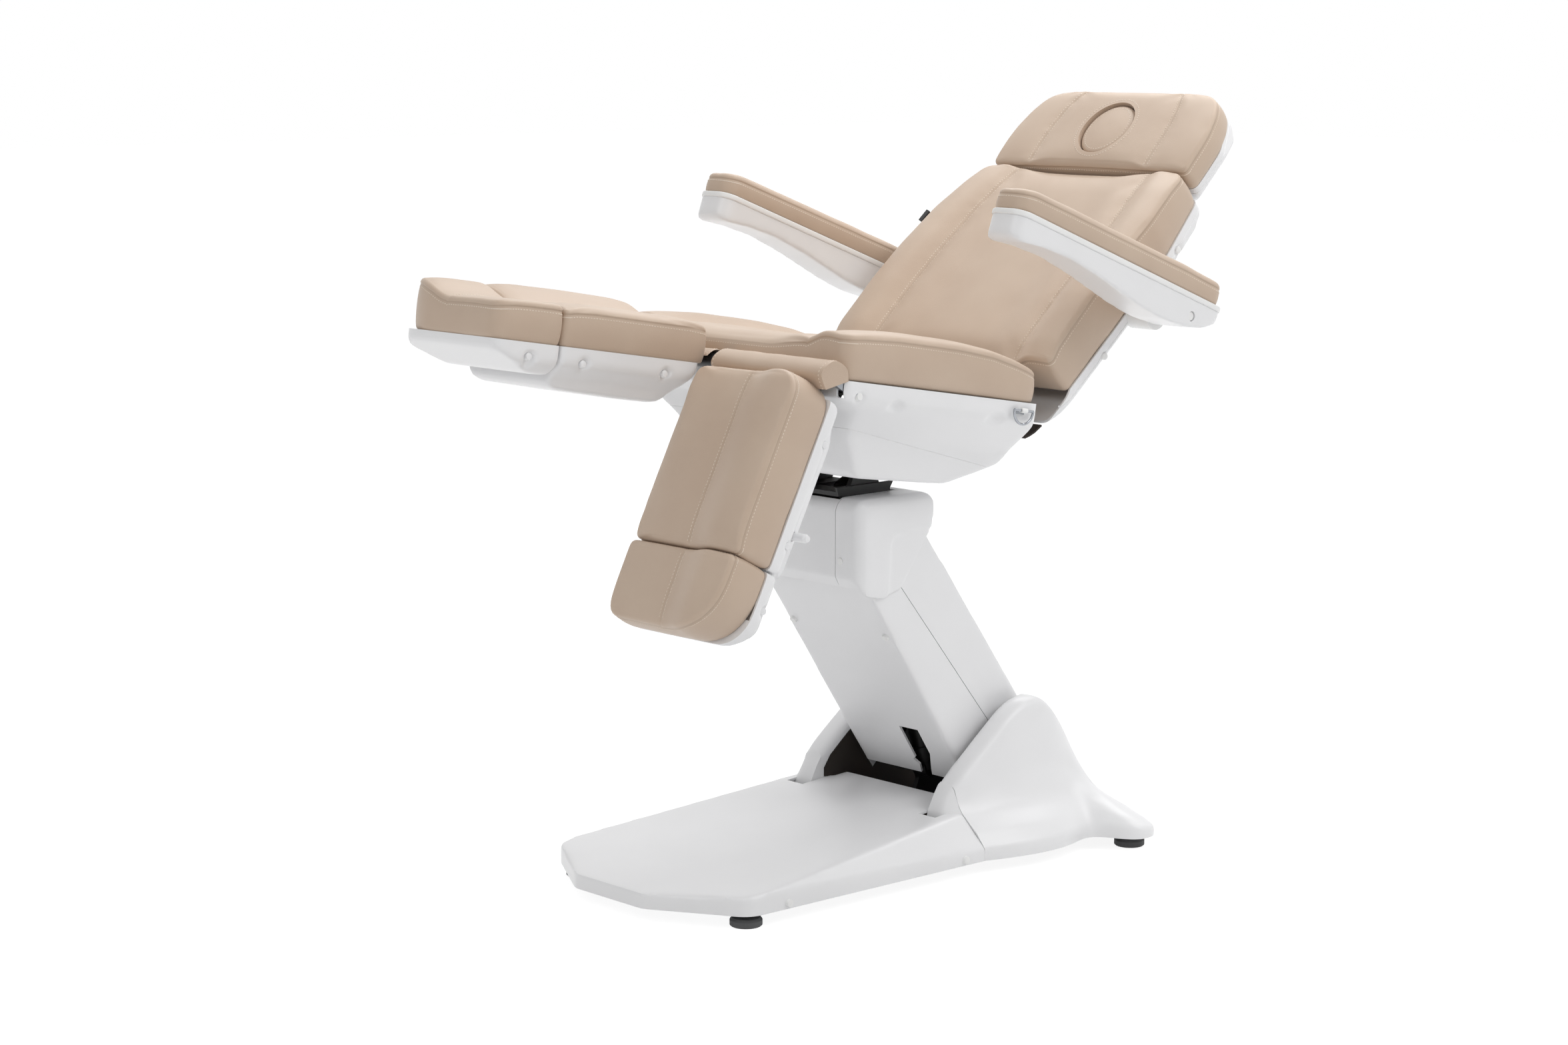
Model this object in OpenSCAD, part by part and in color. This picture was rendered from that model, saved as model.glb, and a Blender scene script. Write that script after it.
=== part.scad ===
// Electric podiatry chair: a floor base, a parallelogram lifting column, a tilting
// seat with a folding back, a sliding headrest, two armrests and two split leg rests.
// The head end points along +X and the sitter's right side along +Y.

/* [Base] */
// Reach of the base nose in front of the origin
nose_x = 581; // [540:5:620]
// Distance of the nose corners in front of the origin
corner_x = 485; // [450:5:520]
// Half width of the base at the nose corners
nose_half_w = 250; // [220:5:280]
// Half width of the base at the seam between its covers
seam_half_w = 266; // [240:5:290]
// Half width across the rear outriggers
toe_half_w = 358; // [330:5:390]
// Reach of the base behind the origin
rear_x = 430; // [400:5:460]
// Height of the deck at the nose
nose_z = 50; // [46:1:60]
// Height of the deck at the seam
deck_z = 100; // [90:1:115]
// Height of the rear ears beside the column
ear_z = 280; // [250:5:310]
// Half width of the well that the column moves in
well_half_w = 150; // [142:1:165]
// Gap between the covers and the floor
floor_gap = 24; // [18:1:30]
// Wall thickness of the moulded covers
wall = 4; // [3:0.5:5]
// Diameter of a levelling foot
foot_d = 55; // [40:1:70]
// Distance from the origin to the front feet
foot_front_x = 463; // [430:1:470]
// Half spacing of the front feet
foot_front_y = 214; // [190:1:222]
// Distance from the origin to the rear feet
foot_rear_x = 396; // [370:1:402]
// Half spacing of the rear feet
foot_rear_y = 305; // [280:1:315]

/* [Lifting column] */
// Lower column pivot behind the origin
lift_x = 232; // [225:1:240]
// Height of the lower column pivot
lift_z = 195; // [190:1:205]
// Distance between the lower and upper column pivots
column_len = 490; // [470:1:510]
// Slope of the column at rest
column_angle = 54.5; // [50:0.5:58]
// Half width of the column covers
column_half_w = 133.5; // [125:0.5:135]
// Radius of the column pivot shafts
shaft_r = 12; // [10:0.5:14]
// Radial running clearance on shafts and pins
run_gap = 0.05; // [0.03:0.01:0.09]
// Half width of the housing at the top of the column
housing_half_w = 142; // [138:0.5:150]

/* [Seat] */
// Height of the seat tilt pivot above the upper column pivot
tilt_rise = 121; // [115:1:130]
// Tilt of the seat at rest, front end raised
seat_tilt = 9.4; // [0:0.1:12]
// Height of the seat board above the tilt pivot
board_w = 142; // [135:1:150]
// Half width of the seat shell
seat_half_w = 285; // [270:1:300]
// Front end of the seat shell from the tilt pivot
seat_front = 283; // [270:1:295]
// Rear end of the seat shell from the tilt pivot
seat_rear = 205; // [195:1:215]
// Height of the seat cushion at its side bolsters
seat_bolster = 88; // [75:1:100]
// Height of the seat cushion in the middle
seat_middle = 62; // [50:1:75]

/* [Back and head] */
// Back hinge behind the tilt pivot
back_hinge_u = 245; // [240:1:255]
// Angle of the back above the seat at rest
back_angle = 49.5; // [40:0.5:60]
// Length of the back shell along the back
back_len = 540; // [500:5:580]
// Half width of the back at its lower part
back_half_w = 276; // [260:1:290]
// Half width of the back at its top
back_top_half_w = 246; // [230:1:260]
// Thickness of the back cushion at its bolsters
back_bolster = 96; // [80:1:110]
// Thickness of the back cushion in the middle
back_middle = 62; // [50:1:75]
// Length of the headrest
head_len = 200; // [180:1:230]
// Half width of the headrest
head_half_w = 240; // [220:1:260]
// Thickness of the head cushion
head_pad = 56; // [45:1:70]
// Length of the face plug along the headrest
plug_len = 128; // [100:1:140]
// Width of the face plug
plug_w = 112; // [90:1:130]

/* [Armrests] */
// Distance from the back hinge to the armrest pivots, along the back
arm_pivot_p = 259; // [240:1:280]
// Distance from the middle plane to an armrest's middle
arm_y = 365; // [350:1:380]
// Width of an armrest
arm_w = 80; // [70:1:90]
// Length of an armrest in front of its pivot
arm_len = 482; // [440:1:520]
// Angle of an armrest above the back at rest
arm_angle = 60.7; // [55:0.1:65]

/* [Leg rests] */
// Fold of the left leg rest at rest
left_fold = 71.75; // [0:0.25:72]
// Distance from the hinge to the far end of a leg shell
leg_len = 349; // [320:1:370]
// Length of a foot rest
foot_len = 118; // [100:1:140]
// Gap on each side of the middle plane between the leg rests
leg_split = 8; // [6:0.5:12]
// Height of the leg cushion at its outer bolster
leg_bolster = 92; // [80:1:100]
// Height of the leg cushion at its inner side
leg_inner = 60; // [50:1:70]

/* [Hidden] */
full_turn = 360;
straight = 179;
arc_steps = 5;
corner_share = 0.46;
eps = 0.01;
overrun = 5;
seat_gap = 0.3;
part_gap = 0.4;

white = [0.93, 0.93, 0.94];
leather = [0.76, 0.66, 0.58];
steel = [0.55, 0.56, 0.58];
black = [0.06, 0.06, 0.06];
grey = [0.3, 0.3, 0.3];
chrome = [0.8, 0.8, 0.82];

// Unit direction and the signed turn between two directions
function unit(v) = v / norm(v);
function wrap(a) = a - full_turn * round(a / full_turn);

// Points of one outline corner, rounded by an arc of radius r
function corner(a, p, b, r, n) =
  let(u = unit(a - p), v = unit(b - p), bend = acos(max(-1, min(1, u * v))))
  r <= 0 || bend > straight ? [p] :
  let(reach = min(r / tan(bend / 2), corner_share * norm(a - p), corner_share * norm(b - p)),
    rad = reach * tan(bend / 2),
    mid = p + unit(u + v) * rad / sin(bend / 2),
    s = p + u * reach - mid,
    e = p + v * reach - mid,
    a0 = atan2(s.y, s.x),
    sweep = wrap(atan2(e.y, e.x) - a0))
  [for (i = [0:n]) mid + rad * [cos(a0 + sweep * i / n), sin(a0 + sweep * i / n)]];

// An outline with its corners rounded; r is one radius or one for each point
function rounded(pts, r, n = arc_steps) =
  let(m = len(pts))
  [for (i = [0:m - 1])
    each corner(pts[(i + m - 1) % m], pts[i], pts[(i + 1) % m], is_list(r) ? r[i] : r, n)];

// Shares of a size, placed from a start point
function spots(shares, size, start = [0, 0]) =
  [for (s = shares) [start.x + s.x * size.x, start.y + s.y * size.y]];

// An open path followed by its own mirror image in y
function both_sides(pts) = concat(pts, [for (i = [len(pts) - 1:-1:0]) [-pts[i].x, pts[i].y]]);

// A path drawn in sideways by d, for strips and walls of even thickness
function beside(path, d) =
  let(m = len(path))
  [for (i = [0:m - 1])
    let(t = unit(path[min(i + 1, m - 1)] - path[max(i - 1, 0)]))
    path[i] + d * [-t.y, t.x]];

// Outlines drawn in the X-Z plane, in plan and in the Y-Z plane
module side_slab(pts, y0, y1) {
  translate([0, y1, 0])
    rotate([90, 0, 0])
      linear_extrude(y1 - y0)
        polygon(pts);
}
module plan_slab(pts, z0, z1) {
  translate([0, 0, z0])
    linear_extrude(z1 - z0)
      polygon(pts);
}
module front_slab(pts, x0, x1) {
  translate([x0, 0, 0])
    rotate([90, 0, 90])
      linear_extrude(x1 - x0)
        polygon(pts);
}
module block(x, y, z) {
  translate([x[0], y[0], z[0]])
    cube([x[1] - x[0], y[1] - y[0], z[1] - z[0]]);
}
module bar_y(r, y0, y1, at = [0, 0], n = 48) {
  translate([at.x, y1, at.y])
    rotate([90, 0, 0])
      cylinder(r = r, h = y1 - y0, $fn = n);
}
module bar_x(r, x0, x1, at = [0, 0], n = 40) {
  translate([x0, at.x, at.y])
    rotate([0, 90, 0])
      cylinder(r = r, h = x1 - x0, $fn = n);
}
module sides() {
  children();
  mirror([0, 1, 0])
    children();
}

// A closed skin through rings of equal length, with flat ends
module loft(given) {
  n = len(given[0]);
  m = len(given);
  rings = given[0][0].x < given[m - 1][0].x ? given : [for (i = [m - 1:-1:0]) given[i]];
  skin = [for (i = [0:m - 2]) for (j = [0:n - 1])
    let(a = i * n + j, b = i * n + (j + 1) % n)
    each [[a, b, a + n], [b, b + n, a + n]]];
  near_end = [for (j = [n - 1:-1:0]) j];
  far_end = [for (j = [0:n - 1]) (m - 1) * n + j];
  polyhedron([for (ring = rings) each ring], concat([near_end], skin, [far_end]));
}

// One ring of a cushion: flat base, drawn-in sides, bolsters, stitched seams and a crown
side_draw_share = 0.012;
seam_dip_share = 0.035;
seam_gap_share = 0.012;
function pad_ring(x, y0, y1, h0, hm, h1, seam0, seam1, base) =
  let(w = y1 - y0,
    dip = hm * seam_dip_share,
    lane = w * seam_gap_share,
    s0 = y0 + w * seam0,
    s1 = y1 - w * seam1,
    soft0 = min(h0 * 0.4, w * 0.09),
    soft1 = min(h1 * 0.4, w * 0.09),
    hs0 = (h0 + hm) / 2,
    hs1 = (h1 + hm) / 2)
  [for (q = [
    [y0, 0],
    [y0 - w * side_draw_share, h0 * 0.35],
    [y0, h0 - soft0],
    [y0 + soft0 * 0.4, h0 - soft0 * 0.3],
    [y0 + soft0 * 1.3, h0],
    [s0 - lane * 2, hs0 + dip],
    [s0, hs0 - dip],
    [s0 + lane * 2, hs0 - dip * 0.2],
    [s0 + (s1 - s0) * 0.25, hm],
    [(s0 + s1) / 2, hm * 0.99],
    [s1 - (s1 - s0) * 0.25, hm],
    [s1 - lane * 2, hs1 - dip * 0.2],
    [s1, hs1 - dip],
    [s1 + lane * 2, hs1 + dip],
    [y1 - soft1 * 1.3, h1],
    [y1 - soft1 * 0.4, h1 - soft1 * 0.3],
    [y1, h1 - soft1],
    [y1 + w * side_draw_share, h1 * 0.35],
    [y1, 0]])
    [x, q.x, base + q.y]];

// Feet, crossbars and the inner frame
stem_r = 8;
plate_bottom = 28;
plate_top = 40;
bar_half = 22;
rail_in = 40;
rail_out = 60;
rail_top = 55;
tower_front = 150;
tower_half_w = 110;
cheek_in = 62;
cheek_out = 72;
arm_in = 74;
arm_out = 82;
link_in = 38;
link_out = 48;
link_dx = 39;
link_dz = 28;
link_r = 10;
link_eye = 18;
pad_h = 15;

// Edge height of the base covers and the place of their seam
edge_z = 46;
seam_x = 55;
tongue_x = 112;
ear_tip_x = 8;
facet_half_w = 208;
cap_r = 7.5;
cap_h = 5;

top_x = lift_x - column_len * cos(column_angle);
top_z = lift_z + column_len * sin(column_angle);
tilt_z = top_z + tilt_rise;

// Frames that the moving groups are drawn in
module at_column() {
  translate([lift_x, 0, lift_z])
    rotate([0, column_angle, 0])
      children();
}
module at_top() {
  translate([top_x, 0, top_z])
    children();
}
module at_seat() {
  translate([top_x, 0, tilt_z])
    rotate([0, seat_tilt, 0])
      children();
}
module at_back() {
  at_seat()
    translate([back_hinge_u, 0, board_w])
      rotate([0, -back_angle, 0])
        children();
}
head_gap = 5;
head_start = back_len + head_gap;
head_drop = 15;
head_lean = 4;
module at_head() {
  at_back()
    translate([head_start, 0, -head_drop])
      rotate([0, -head_lean, 0])
        children();
}
arm_n = 18;
module at_arm(side) {
  at_back()
    translate([arm_pivot_p, side * arm_y, -arm_n])
      rotate([0, arm_angle, 0])
        children();
}
leg_hinge_u = 298;
leg_hinge_w = 150;
module at_leg(side) {
  at_seat()
    translate([-leg_hinge_u, 0, leg_hinge_w])
      rotate([0, side < 0 ? -left_fold : 0, 0])
        mirror([0, side < 0 ? 1 : 0, 0])
          children();
}

// Outline of the base in plan, one side
front_plan = rounded([
  [seam_x, -seam_half_w], [seam_x, seam_half_w], [-corner_x, nose_half_w],
  [-nose_x, nose_half_w * 0.35], [-nose_x, -nose_half_w * 0.35], [-corner_x, -nose_half_w]],
  [0, 0, corner_x * 0.1, nose_half_w * 0.9, nose_half_w * 0.9, corner_x * 0.1], 7);
front_plan_inner = rounded([
  [seam_x + overrun, wall - seam_half_w], [seam_x + overrun, seam_half_w - wall],
  [-corner_x + wall, nose_half_w - wall], [-nose_x + wall, nose_half_w * 0.35],
  [-nose_x + wall, -nose_half_w * 0.35], [-corner_x + wall, wall - nose_half_w]],
  [0, 0, corner_x * 0.1, nose_half_w * 0.9, nose_half_w * 0.9, corner_x * 0.1], 7);
tongue_rise = 4;
function deck_side(t) = [
  [-nose_x - overrun, floor_gap - overrun * t], [tongue_x + overrun * t, floor_gap - overrun * t],
  [tongue_x + overrun * t, deck_z + tongue_rise - wall * t], [seam_x, deck_z - wall * t],
  [-nose_x - overrun, nose_z - wall * t]];
function deck_front(t) = rounded([
  [-seam_half_w - overrun, floor_gap - overrun], [seam_half_w + overrun, floor_gap - overrun],
  [seam_half_w + overrun, edge_z - wall * t], [seam_half_w, edge_z - wall * t],
  [facet_half_w, deck_z - wall * t], [facet_half_w, deck_z + overrun],
  [-facet_half_w, deck_z + overrun], [-facet_half_w, deck_z - wall * t],
  [-seam_half_w, edge_z - wall * t], [-seam_half_w - overrun, edge_z - wall * t]],
  [0, 0, 0, wall * 4, wall * 3, 0, 0, wall * 3, wall * 4, 0]);

module deck_body(t) {
  intersection() {
    side_slab(deck_side(t), -seam_half_w, seam_half_w);
    front_slab(deck_front(t), -nose_x - overrun, tongue_x + overrun);
    union() {
      plan_slab(t > 0 ? front_plan_inner : front_plan, 0, ear_z);
      block([0, tongue_x + overrun * t], [part_gap - well_half_w + wall * t,
        well_half_w - part_gap - wall * t], [0, ear_z]);
    }
  }
}

module base_front_cover() {
  color(white) {
    difference() {
      deck_body(0);
      deck_body(1);
      sides()
        block([ear_tip_x - part_gap, seam_x + overrun],
          [well_half_w - part_gap, ear_out_y + part_gap], [floor_gap, ear_z]);
      block([tongue_x - wall * 2, tongue_x + overrun], [-well_half_w, well_half_w],
        [0, deck_z - wall * 5]);
    }
    intersection() {
      deck_body(0);
      sides() {
        block([-foot_front_x - bar_half, -foot_front_x + bar_half],
          [foot_front_y - bar_half, foot_front_y - bar_half + wall], [plate_top, ear_z]);
        block([-foot_front_x - bar_half, -foot_front_x + bar_half],
          [rail_in, rail_in + wall], [plate_top, ear_z]);
      }
    }
    intersection() {
      deck_body(0);
      sides()
        block([-bar_half, -bar_half + wall], [rail_in, rail_out], [rail_top, ear_z]);
    }
    sides()
      for (x = [-corner_x + foot_d * 1.5, ear_tip_x])
        translate([x, nose_half_w + (seam_half_w - nose_half_w)
          * (x + corner_x) / (seam_x + corner_x) - wall / 2, (floor_gap + edge_z) / 2])
          rotate([-90, 0, 0])
            cylinder(r = cap_r, h = cap_h + wall / 2, $fn = 20);
  }
}

// Stations of the rear cover: place, ear height, ear outer side, foot of the slope,
// skirt and edge heights, each a share of the reach, the ear height and the toe half width
ear_out_y = 190;
rear_cover_shares = [
  [0.129, 0.525, 0.53, 0.590, 0.352, 0.743, 0.165],
  [0.181, 0.600, 0.54, 0.600, 0.358, 0.765, 0.165],
  [0.280, 0.715, 0.54, 0.625, 0.365, 0.800, 0.165],
  [0.379, 0.830, 0.54, 0.640, 0.368, 0.824, 0.165],
  [0.450, 0.915, 0.54, 0.650, 0.368, 0.832, 0.165],
  [0.530, 0.980, 0.54, 0.655, 0.366, 0.830, 0.165],
  [0.600, 1.000, 0.54, 0.660, 0.362, 0.815, 0.165],
  [0.660, 0.980, 0.54, 0.665, 0.358, 0.795, 0.165],
  [0.716, 0.910, 0.54, 0.670, 0.352, 0.785, 0.165],
  [0.765, 0.820, 0.53, 0.690, 0.345, 0.815, 0.165],
  [0.807, 0.735, 0.52, 0.740, 0.325, 0.930, 0.160],
  [0.850, 0.630, 0.51, 0.790, 0.300, 0.990, 0.155],
  [0.919, 0.430, 0.50, 0.800, 0.270, 1.000, 0.150],
  [0.970, 0.300, 0.49, 0.780, 0.230, 0.975, 0.145],
  [1.000, 0.200, 0.48, 0.740, 0.185, 0.900, 0.140]];

function rear_ring(s, t) =
  let(x = rear_x * s[0],
    top = ear_z * s[1] - t,
    inner = well_half_w + t,
    outer = toe_half_w * s[2] - t,
    foot = [toe_half_w * s[3] - t, ear_z * s[4] - t],
    skirt = toe_half_w * s[5] - t,
    edge = ear_z * s[6] - t / 2,
    crown = (outer - inner) * 0.3)
  [[inner, floor_gap], [inner, top - crown], [inner + crown * 0.3, top - crown * 0.3],
     [inner + crown, top], [outer - crown, top - crown * 0.2], [outer, top - crown],
     [outer * 0.55 + foot.x * 0.45, foot.y + (top - foot.y) * 0.35],
     [foot.x * 0.93 + outer * 0.07, foot.y + (top - foot.y) * 0.08], foot,
     [foot.x * 0.35 + skirt * 0.65, foot.y * 0.45 + edge * 0.55],
     [skirt - crown * 0.4, edge + crown * 0.2], [skirt, edge - crown * 0.6], [skirt, floor_gap]];

module rear_half(t) {
  loft([for (s = rear_cover_shares) [for (q = rear_ring(s, t)) [rear_x * s[0], q.x, q.y]]]);
}
module rear_skin() {
  loft([for (s = rear_cover_shares)
    let(out = rear_ring(s, 0), back = rear_ring(s, wall))
    [for (q = concat(out, [for (i = [len(back) - 1:-1:0]) back[i]])) [rear_x * s[0], q.x, q.y]]]);
}

module base_rear_cover() {
  color(white) {
    sides() {
      difference() {
        rear_skin();
        block([foot_rear_x - bar_half - part_gap, foot_rear_x + bar_half + part_gap],
          [0, well_half_w + wall * 2], [0, plate_top + part_gap]);
      }
      difference() {
        side_slab([[ear_tip_x, deck_z * 0.7], [seam_x + wall, deck_z * 0.7],
          [seam_x + wall, ear_z * 0.5], [ear_tip_x, deck_z * 0.97]],
          well_half_w + part_gap, ear_out_y - part_gap * 3);
        side_slab([[ear_tip_x + wall, deck_z * 0.7 - overrun], [seam_x + wall * 2, deck_z * 0.7 - overrun],
          [seam_x + wall * 2, ear_z * 0.49], [ear_tip_x + wall, deck_z * 0.93]],
          well_half_w + wall, ear_out_y - part_gap * 3 - wall);
      }
      intersection() {
        rear_half(wall / 2);
        block([rear_x - wall * 1.5, rear_x - part_gap], [well_half_w, toe_half_w], [floor_gap, ear_z]);
      }
      for (x = [foot_rear_x - bar_half, foot_rear_x + bar_half - wall * 2])
        intersection() {
          rear_half(wall / 2);
          block([x, x + wall], [well_half_w, toe_half_w], [plate_top, ear_z / 3]);
        }
      translate([seam_x + cap_r * 2, facet_half_w - cap_r, deck_z - wall])
        cylinder(r = cap_r, h = wall + cap_h, $fn = 20);
    }
    block([rear_x - wall * 2, rear_x - wall], [-well_half_w - wall, well_half_w + wall],
      [floor_gap, edge_z]);
  }
}

module base_frame() {
  color(steel) {
    difference() {
      block([-foot_front_x - bar_half, -foot_front_x + bar_half],
        [-foot_front_y - bar_half * 0.8, foot_front_y + bar_half * 0.8], [plate_bottom, plate_top]);
      sides()
        translate([-foot_front_x, foot_front_y, plate_bottom - overrun])
          cylinder(r = stem_r + run_gap, h = plate_top, $fn = 40);
    }
    sides()
      block([-foot_front_x + bar_half, tower_front], [rail_in, rail_out],
        [plate_bottom, rail_top]);
  }
}

// Upright outline, as shares of the pivot height above the base plate
upright_shares = [
  [-0.18, -1], [0.90, -1], [0.90, -0.72], [0.62, -0.25], [0.48, 0.16],
  [0.30, 0.34], [0.05, 0.18], [-0.20, 0.05], [-0.44, -0.30], [-0.40, -0.52], [-0.12, -0.58],
  [-0.05, -0.68]];
motor_dx = -50;
motor_dz = -66;
motor_pin_r = 8;
lift_end_x = 230;
upright_h = lift_z - plate_top;

module lift_tower() {
  color(black) {
    difference() {
      union() {
        block([tower_front, foot_rear_x + bar_half], [-tower_half_w, tower_half_w],
          [plate_bottom, plate_top]);
        block([foot_rear_x - bar_half, foot_rear_x + bar_half],
          [-foot_rear_y - bar_half, foot_rear_y + bar_half], [plate_bottom, plate_top]);
        sides() {
          side_slab(rounded(spots(upright_shares, [upright_h, upright_h],
            [lift_x, lift_z]), [0, 0, 20, 40, 20, 20, 30, 30, 12, 12, 6, 10]),
            cheek_in, cheek_out);
          bar_y(shaft_r * 2.6, cheek_in - wall, cheek_out, [lift_x, lift_z]);
        }
      }
      sides()
        translate([foot_rear_x, foot_rear_y, plate_bottom - overrun])
          cylinder(r = stem_r + run_gap, h = plate_top, $fn = 40);
    }
    block([lift_x + upright_h * 0.6, lift_x + upright_h * 0.6 + wall * 2],
      [-cheek_in, cheek_in], [plate_top, lift_z - shaft_r * 4]);
  }
  color(chrome) {
    bar_y(shaft_r, -arm_out - wall, arm_out + wall, [lift_x, lift_z]);
    sides()
      bar_y(shaft_r * 1.4, arm_out + seat_gap, arm_out + wall * 2, [lift_x, lift_z]);
    bar_y(link_r, -cheek_in - wall, cheek_in + wall, [lift_x + link_dx, lift_z + link_dz]);
    bar_y(motor_pin_r, -cheek_in - wall, cheek_in + wall, [lift_x + motor_dx, lift_z + motor_dz]);
  }
}

module mains_inlet() {
  inlet_w = 27;
  inlet_h = 30;
  color(black)
    difference() {
      block([rear_x - wall * 2 - inlet_h, rear_x - wall * 2], [-inlet_w, inlet_w],
        [plate_top, plate_top + inlet_h]);
      block([rear_x - inlet_h, rear_x], [-inlet_w + wall, inlet_w - wall],
        [plate_top + wall, plate_top + inlet_h - wall]);
      block([foot_rear_x - bar_half * 3, foot_rear_x - bar_half], [-inlet_w, inlet_w], [0, lift_z]);
    }
  color(chrome)
    for (y = [-wall * 2, 0, wall * 2])
      block([rear_x - inlet_h, rear_x - inlet_h + wall * 3], [y - wall / 4, y + wall / 4],
        [plate_top + inlet_h / 2 - wall / 2, plate_top + inlet_h / 2 + wall / 2]);
}

module control_box() {
  color(black)
    block([-foot_front_x * 0.35, -bar_half * 1.4], [-rail_out, rail_out],
      [rail_top, rail_top + bar_half * 0.8]);
}

module foot_at(x, y) {
  translate([x, y, 0]) {
    color(black)
      rotate_extrude($fn = 56)
        polygon([[0, 0], [foot_d * 0.46, 0], [foot_d / 2, wall / 2], [foot_d / 2, pad_h * 0.7],
          [foot_d * 0.44, pad_h], [0, pad_h]]);
    color(steel) {
      cylinder(r = stem_r, h = plate_top + bar_half / 2, $fn = 40);
      cylinder(r = stem_r * 1.7, h = plate_bottom - wall / 2, $fn = 6);
    }
  }
}
module foot_front_left() { foot_at(-foot_front_x, -foot_front_y); }
module foot_front_right() { foot_at(-foot_front_x, foot_front_y); }
module foot_rear_left() { foot_at(foot_rear_x, -foot_rear_y); }
module foot_rear_right() { foot_at(foot_rear_x, foot_rear_y); }

// Column: two side plates with tubes, carrying two moulded covers
plate_half = 27;
end_r = 31;
brace_r = 12;
cover_front_top = -92;
cover_front_bottom = -108;
cover_rear_top = 74;
cover_rear_bottom = 87;
cover_inset = 50;
cover_top = column_len - cover_inset;
cover_tail = 20;
cover_lip = 8;
cover_point = 35;
seam_top = -32;
seam_bottom = 1;
slot_top = 107;
slot_share = [[-0.51, -1], [-0.16, -1], [-0.16, -0.37], [-0.5, 0.3], [-0.36, 0.3], [-0.40, -0.1], [-0.51, -0.52]];

module lift_arm() {
  color(steel) {
    difference() {
      sides() {
        block([-column_len, 0], [arm_in, arm_out], [-plate_half, plate_half]);
        for (x = [-column_len, 0])
          bar_y(end_r, arm_in, arm_out, [x, 0]);
        for (x = [-cover_top + 100, -cover_top + 380])
          for (z = [[-60, -42], [12, 30]])
            block([x - brace_r, x + brace_r], [arm_in, column_half_w - wall], z);
        for (x = [-cover_top + 100, -cover_top + 380])
          block([x - brace_r, x + brace_r], [arm_in, arm_out], [-60, 0]);
      }
      for (x = [-column_len, 0])
        bar_y(shaft_r + run_gap, -housing_half_w, housing_half_w, [x, 0]);
    }
    bar_y(brace_r, -arm_in, arm_in, [-lift_end_x / 2 + brace_r / 2, wall * 2]);
    bar_y(brace_r, -arm_in, arm_in, [-cover_top + 60, -wall * 4]);
    bar_y(motor_pin_r, -arm_in, arm_in, [-lift_end_x, 0]);
  }
}
module lift_arm_placed() { at_column() lift_arm(); }

function column_front_side(t) = [
  [-cover_top - overrun * t, cover_front_top + wall * t],
  [cover_lip + overrun * t, cover_front_bottom + wall * t],
  [cover_point + overrun * t, cover_front_bottom + wall * t],
  [cover_point + overrun * t, cover_front_bottom + wall * t + overrun],
  [cover_tail + overrun * t, seam_bottom + overrun * t],
  [-cover_top - overrun * t, seam_top + overrun * t]];
function column_section(t, z0, z1) =
  let(w = column_half_w - wall * t)
  rounded([[-w, z1], [-w, z0], [w, z0], [w, z1]], [0, 20 - wall * t, 20 - wall * t, 0]);

module column_front_cover() {
  color(white)
    at_column() {
      difference() {
        intersection() {
          side_slab(column_front_side(0), -column_half_w, column_half_w);
          front_slab(column_section(0, cover_front_bottom, ear_z), -column_len, lift_x);
        }
        intersection() {
          side_slab(column_front_side(1), -column_half_w, column_half_w);
          front_slab(column_section(1, cover_front_bottom + wall, ear_z), -column_len - overrun,
            lift_x);
        }
        block([cover_lip, lift_x], [-column_half_w + wall, column_half_w - wall],
          [-ear_z, 0]);
        translate([0, 0, -ear_z / 2])
          linear_extrude(ear_z / 2 - plate_half)
            polygon([[-slot_top, -69], [-slot_top, -22], [-30, -22], [-24, -14],
              [-12, -24], [cover_point, -10], [cover_point, -30], [-11, -52], [-48, -69]]);
      }
      sides()
        translate([-cover_top + 100, column_half_w - 16, cover_front_top - wall / 4])
          rotate([180, 0, 0])
            cylinder(r = cap_r, h = cap_h + wall, $fn = 20);
    }
}

module column_rear_cover() {
  color(white)
    at_column()
      difference() {
        intersection() {
          side_slab([[-cover_top, seam_top + part_gap], [cover_tail, seam_bottom + part_gap],
            [cover_tail, cover_rear_bottom], [-cover_top, cover_rear_top]],
            -column_half_w, column_half_w);
          front_slab([for (q = column_section(0, -cover_rear_bottom, ear_z)) [q.x, -q.y]],
            -column_len, lift_x);
        }
        intersection() {
          side_slab([[-cover_top - overrun, -ear_z], [cover_tail + overrun, -ear_z],
            [cover_tail + overrun, cover_rear_bottom - wall],
            [-cover_top - overrun, cover_rear_top - wall]], -column_half_w, column_half_w);
          front_slab([for (q = column_section(1, -cover_rear_bottom + wall, ear_z))
            [q.x, -q.y]], -column_len - overrun, lift_x);
        }
      }
}

module level_link() {
  color(steel) {
    sides()
      difference() {
        translate([lift_x + link_dx, 0, lift_z + link_dz])
          rotate([0, column_angle, 0])
            union() {
              block([-column_len, 0], [link_in, link_out], [-link_eye / 2, link_eye / 2]);
              for (x = [-column_len, 0])
                bar_y(link_eye, link_in, link_out, [x, 0]);
            }
        bar_y(link_r + run_gap, 0, ear_z, [lift_x + link_dx, lift_z + link_dz]);
        bar_y(link_r + run_gap, 0, ear_z, [top_x + link_dx, top_z + link_dz]);
      }
    translate([lift_x + link_dx, 0, lift_z + link_dz])
      rotate([0, column_angle, 0])
        bar_y(wall * 1.5, -link_in, link_in, [-column_len * 0.8, 0]);
  }
}

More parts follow.
